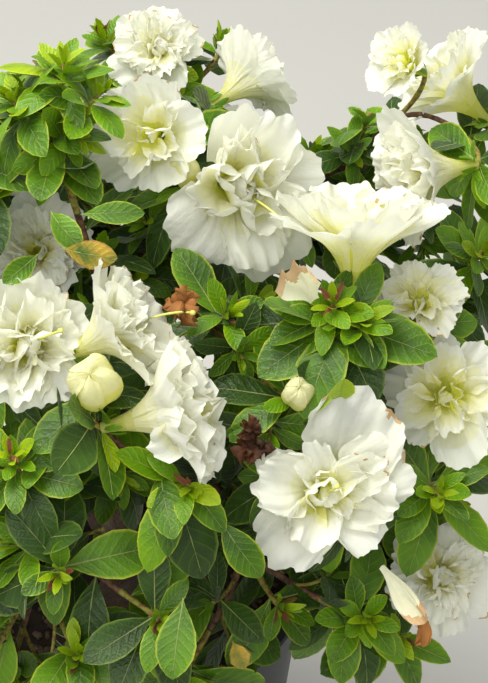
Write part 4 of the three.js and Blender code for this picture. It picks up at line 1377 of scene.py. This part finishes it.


# The flowers' tones, from white lobes to the green throat, whose two deepest tones are its own tint
# brightened and yellowed as painted glow, then rain-browned, withered and dried ones.
petal_finishes = [
    petal_material("white_petal", "fafaf2", "f6f6ea", "fafaea", 0.4),
    petal_material("ivory_petal", "faf9e0", "f7f5d6", "f9f8d0", 0.42),
    petal_material("cream_petal", "faf8d2", "f7f5c4", "f7f5b4", 0.45),
    # The two throat tones: the throat's own green tint, made brighter and yellower as painted glow of light
    # through the petals deep in the flower
    petal_material("pale_throat_and_painted_glow", "f9f7b4", "f5f49c", "f5f488", 0.52),
    petal_material("green_throat_and_painted_glow", "f4f490", "e8ec6c", "eef05c", 0.56),
    petal_material("browned_petal", "dfc49a", "bd9464", "cda87a", 0.2),
    petal_material("withered_petal", "b0763e", "744724", "a06a34", 0.15),
    petal_material("dried_flower", "643a22", "38200f", "5a3018", 0.1),
]
near_lobe, far_lobe, tuft_lobe = (lobe_lattice(*grid) for grid in (NEAR_LOBE_GRID, FAR_LOBE_GRID, TUFT_GRID))
middles_of = {lattice: cell_middles(lattice) for lattice in (near_lobe, far_lobe, tuft_lobe)}
outer_petals, inner_petals, tufts = Gathered(), Gathered(), Gathered()


def loose_places(lattice, root, along, face, length, width, seed, cup, curl, ruffle):
    """The points of one free petal: narrow at its foot, curled along and cupped across, with a wavy rim."""
    u, v = lattice.corners[:, 0], lattice.corners[:, 1]
    side, lift = across(along, face)
    v = v * (1 - 0.22 * np.abs(u) ** 2.4 * smooth_step(0.4, 1, v) + 0.05 * ripple(u, 0, seed + 1, 5.0) * v**3)
    bend = curl * v
    ahead = length * np.sin(bend) / curl
    rise = length * (1 - np.cos(bend)) / curl
    half = 0.5 * width * (0.25 + 0.75 * smooth_step(0.0, 0.6, v)) * (1 - 0.25 * smooth_step(0.8, 1, v))
    twist = between((-0.9, 0.9), chance(seed, 57)) * v
    wavy = 0.5 * ruffle * ripple(u, v, seed + 2, 5.0) * np.maximum(v, np.abs(u) * v) ** 2
    out = half * (cup * u * u * 1.6 + wavy)
    sideways = half * u
    x = sideways * np.cos(twist) - out * np.sin(twist)
    y = sideways * np.sin(twist) + out * np.cos(twist)
    normal = np.cos(bend)[:, None] * lift - np.sin(bend)[:, None] * along
    return root + ahead[:, None] * along + rise[:, None] * lift + x[:, None] * side + y[:, None] * normal


def add_tuft(head, number):
    """The petal-like stamens of one flower, each leaning its own way out of the throat."""
    form = TRAITS[head.form]
    for k in range(form.stamens):
        seed = 100 * number + 80 + k
        around = 2 * math.pi * (k + 0.7 * chance(seed, 51)) / form.stamens
        out = swung(head.side, head.lift, around)
        along = unit(swung(head.face, out, between((0.15, 1.0), chance(seed, 52))))
        foot = head.face * head.size * between((-0.24, -0.12), chance(seed, 53))
        root = head.at + foot + out * head.size * 0.05
        length = head.size * form.stamen_length * between((0.75, 1.2), chance(seed, 54))
        curl = between((0.6, 2.2), chance(seed, 55)) * (1 if chance(seed, 58) < 0.65 else -1)
        width = length * between((0.6, 1.0), chance(seed, 56))
        places = loose_places(tuft_lobe, root, along, -out, length, width, seed, 0.5, curl, 1.3)
        tufts.add(tuft_lobe, places, lobe_kinds(middles_of[tuft_lobe], seed, form.blush + 0.16, 0))


def add_bloom(head, number):
    """All the lobes of one flower."""
    form = TRAITS[head.form]
    lattice = near_lobe if head.front else far_lobe
    gap_at, gap_half = LOBE_GAPS.get(number, (0, 0))
    for ring, whorl in enumerate(BLOOM_FORMS[head.form]):
        for k in range(whorl[0]):
            seed = 100 * number + 10 * ring + k
            turn = 2 * math.pi * (chance(number, 61) + (k + 0.5 * ring) / whorl[0])
            if ring < 2 and abs((math.degrees(turn) - gap_at + 180) % 360 - 180) < gap_half:
                continue
            places = lobe_places(*lattice.corners.T[:2], head, turn, whorl, seed)
            kinds = lobe_kinds(middles_of[lattice], seed, form.blush + 0.07 * ring, form.browned)
            (inner_petals if ring else outer_petals).add(lattice, places, kinds)
    add_tuft(head, number)


for number, head in enumerate(blooms):
    add_bloom(head, number)
fit(outer_petals.piece("outer_petals", *petal_finishes), "foliage")
fit(inner_petals.piece("inner_petals", *petal_finishes), "foliage")
fit(tufts.piece("petal_tufts", *petal_finishes), "foliage")

# Buds and withered flowers. A bud is five petals wrapped tight. A spent flower shrinks and browns where
# it hangs, and single fallen petals, brown at the rim, catch among the leaves.

# Shrivelled bunches: azimuth, elevation and reach, facing, length, number of petals, and finish
SHRIVELLED = [
    (-71, 55, 0.95, -100, 50, 0.010, 9, 6),
    (-66, 30, 0.96, -100, 78, 0.0075, 12, 7),
    (-65, 33, 0.96, -80, 60, 0.0065, 10, 7),
    (-63.5, 30, 0.97, -60, 70, 0.006, 10, 7),
]
# Loose ones: azimuth, elevation and reach of the foot, where it points to, length, width, curl, how much
# of it is white, and the finish of the rest
WILTED = [
    (-48, 48, 1.1, 150, 50, 0.018, 0.015, 0.7, 0.66, 5),
    (-88, 61, 1.02, -84, -48, 0.014, 0.007, -0.8, 0.5, 6),
    (-55, 11, 1.16, -30, -42, 0.026, 0.009, 0.5, 0.8, 5),
    (-49, 0, 1.17, -110, -62, 0.016, 0.007, 1.4, 0.1, 6),
]
# How far up a bud's petals green gives way to cream, and cream to white
BUD_STEPS = (0.22, 0.6)


def wrapped_places(u, v, at, face, width, length, turn, seed):
    """The points of one petal that is wrapped round a bud, over the next one, a little four-sided."""
    side, lift = across(face, UP)
    control = (
        (0.10 * width, -0.5 * length),
        (0.80 * width, -0.42 * length),
        (0.80 * width, 0.62 * length),
        (0.02 * width, 0.50 * length),
    )
    meridian, slope = on_meridian(control, np.clip(v * (1 - 0.14 * np.abs(u) ** 3), 0, 1))
    normal = np.stack((-slope[:, 1], slope[:, 0]), axis=1)
    around = turn + u * 0.98 + 0.9 * v
    lap = -0.07 * u * smooth_step(0.1, 0.6, v) + 0.02 * u * u + 0.03 * v * ripple(u, v, seed, 4.0)
    out = meridian + normal * width * (lap - 0.055 * np.cos(4 * around))[:, None]
    radial = np.cos(around)[:, None] * side + np.sin(around)[:, None] * lift
    return at + radial * out[:, :1] + out[:, 1:] * face


closed = Gathered()
lobe_u, lobe_v = tuft_lobe.corners[:, 0], tuft_lobe.corners[:, 1]
bud_kinds = 4 - np.digitize(middles_of[tuft_lobe][:, 1], BUD_STEPS)
for number, head in enumerate(head for head in heads if head.kind == "bud"):
    width, length = 0.67 * head.size, BUD_SLIMNESS * 0.72 * head.size
    for k in range(5):
        turn = 2 * math.pi * k / 5 + number
        places = wrapped_places(lobe_u, lobe_v, head.at, head.face, width, length, turn, 10 * number + k)
        closed.add(tuft_lobe, places, bud_kinds)
for number, (azimuth, elevation, reach, towards, upward, size, count, kind) in enumerate(SHRIVELLED):
    at, face = on_crown(azimuth, elevation, reach), direction(towards, upward)
    side, lift = across(face, UP)
    for k in range(count):
        seed = 700 + 20 * number + k
        around = 2 * math.pi * (k + 0.8 * chance(seed, 1)) / count
        out = swung(side, lift, around)
        along = unit(swung(face, out, between((0.1, 0.9), chance(seed, 2))))
        length = size * between((0.7, 1.3), chance(seed, 3))
        curl = between((1.8, 3.2), chance(seed, 4))
        root = at - face * size * between((0.2, 0.6), chance(seed, 5))
        places = loose_places(tuft_lobe, root, along, -out, length, 0.8 * length, seed, 0.8, curl, 1.8)
        closed.add(tuft_lobe, places, kind)
for number, row in enumerate(WILTED):
    azimuth, elevation, reach, towards, upward, length, width, curl, white, kind = row
    at, along = on_crown(azimuth, elevation, reach), direction(towards, upward)
    places = loose_places(near_lobe, at, along, sight_line, length, width, 90 + number, 0.6, curl, 1.4)
    u, v = middles_of[near_lobe].T
    closed.add(near_lobe, places, np.where(v + 0.12 * ripple(u, 0, number, 4.0) > white, kind, 1))
fit(closed.piece("buds_and_wilted_petals", *petal_finishes), "foliage")

# Styles. One pale green style with a knob stands out of a flower's throat. It is a smooth thread of
# living tissue, rooted at the bottom of the tube.
STYLE_RADIUS = 0.00045
STYLE_KNOB = 0.0011
# The front's flowers with a style in view, by their order, with its length as a share of the width and
# how far it leans across and up
STYLES = [(5, 0.42, 0.35, -0.5), (12, 0.4, 0.5, 0.1), (13, 0.5, 0.1, -0.5), (0, 0.3, 0.1, 0.1)]

# Fresh style: pale yellow-green, smooth, with a soft shine.
style_skin, tree, where = new_material("style_skin")
mottle = add_node(tree, "TexNoise", {"Vector": where["Object"], "Scale": 300.0, "Detail": 2.0})
tone = add_node(tree, "Mix", {0: mottle, 6: "e3dc7e", 7: "c6cf52"}, data_type="RGBA")
shader = add_node(tree, "BsdfPrincipled", {"Base Color": tone, "Roughness": 0.45})
add_node(tree, "OutputMaterial", {"Surface": shader})

knob_shape = bmesh.new()
bmesh.ops.create_icosphere(knob_shape, subdivisions=2, radius=1)
knob = Model(knob_shape)
style_rod = rod_model(6, 14)
styles = Gathered()
for number, length, sideways, upward in STYLES:
    head = blooms[number]
    root = head.at - head.face * 0.45 * head.size
    leaning = (head.side * sideways + head.lift * upward) * 0.4 * head.size
    tip = root + head.face * (0.45 + length) * head.size * 0.8 + leaning
    curve = (root, root + head.face * 0.6 * head.size, tip)
    styles.add(style_rod, laid_along(style_rod, curve, lambda share: STYLE_RADIUS * (1.2 - 0.3 * share)))
    styles.add(knob, knob.corners * STYLE_KNOB * (1, 1, 0.8) + tip)
fit(styles.piece("styles", style_skin), "foliage")
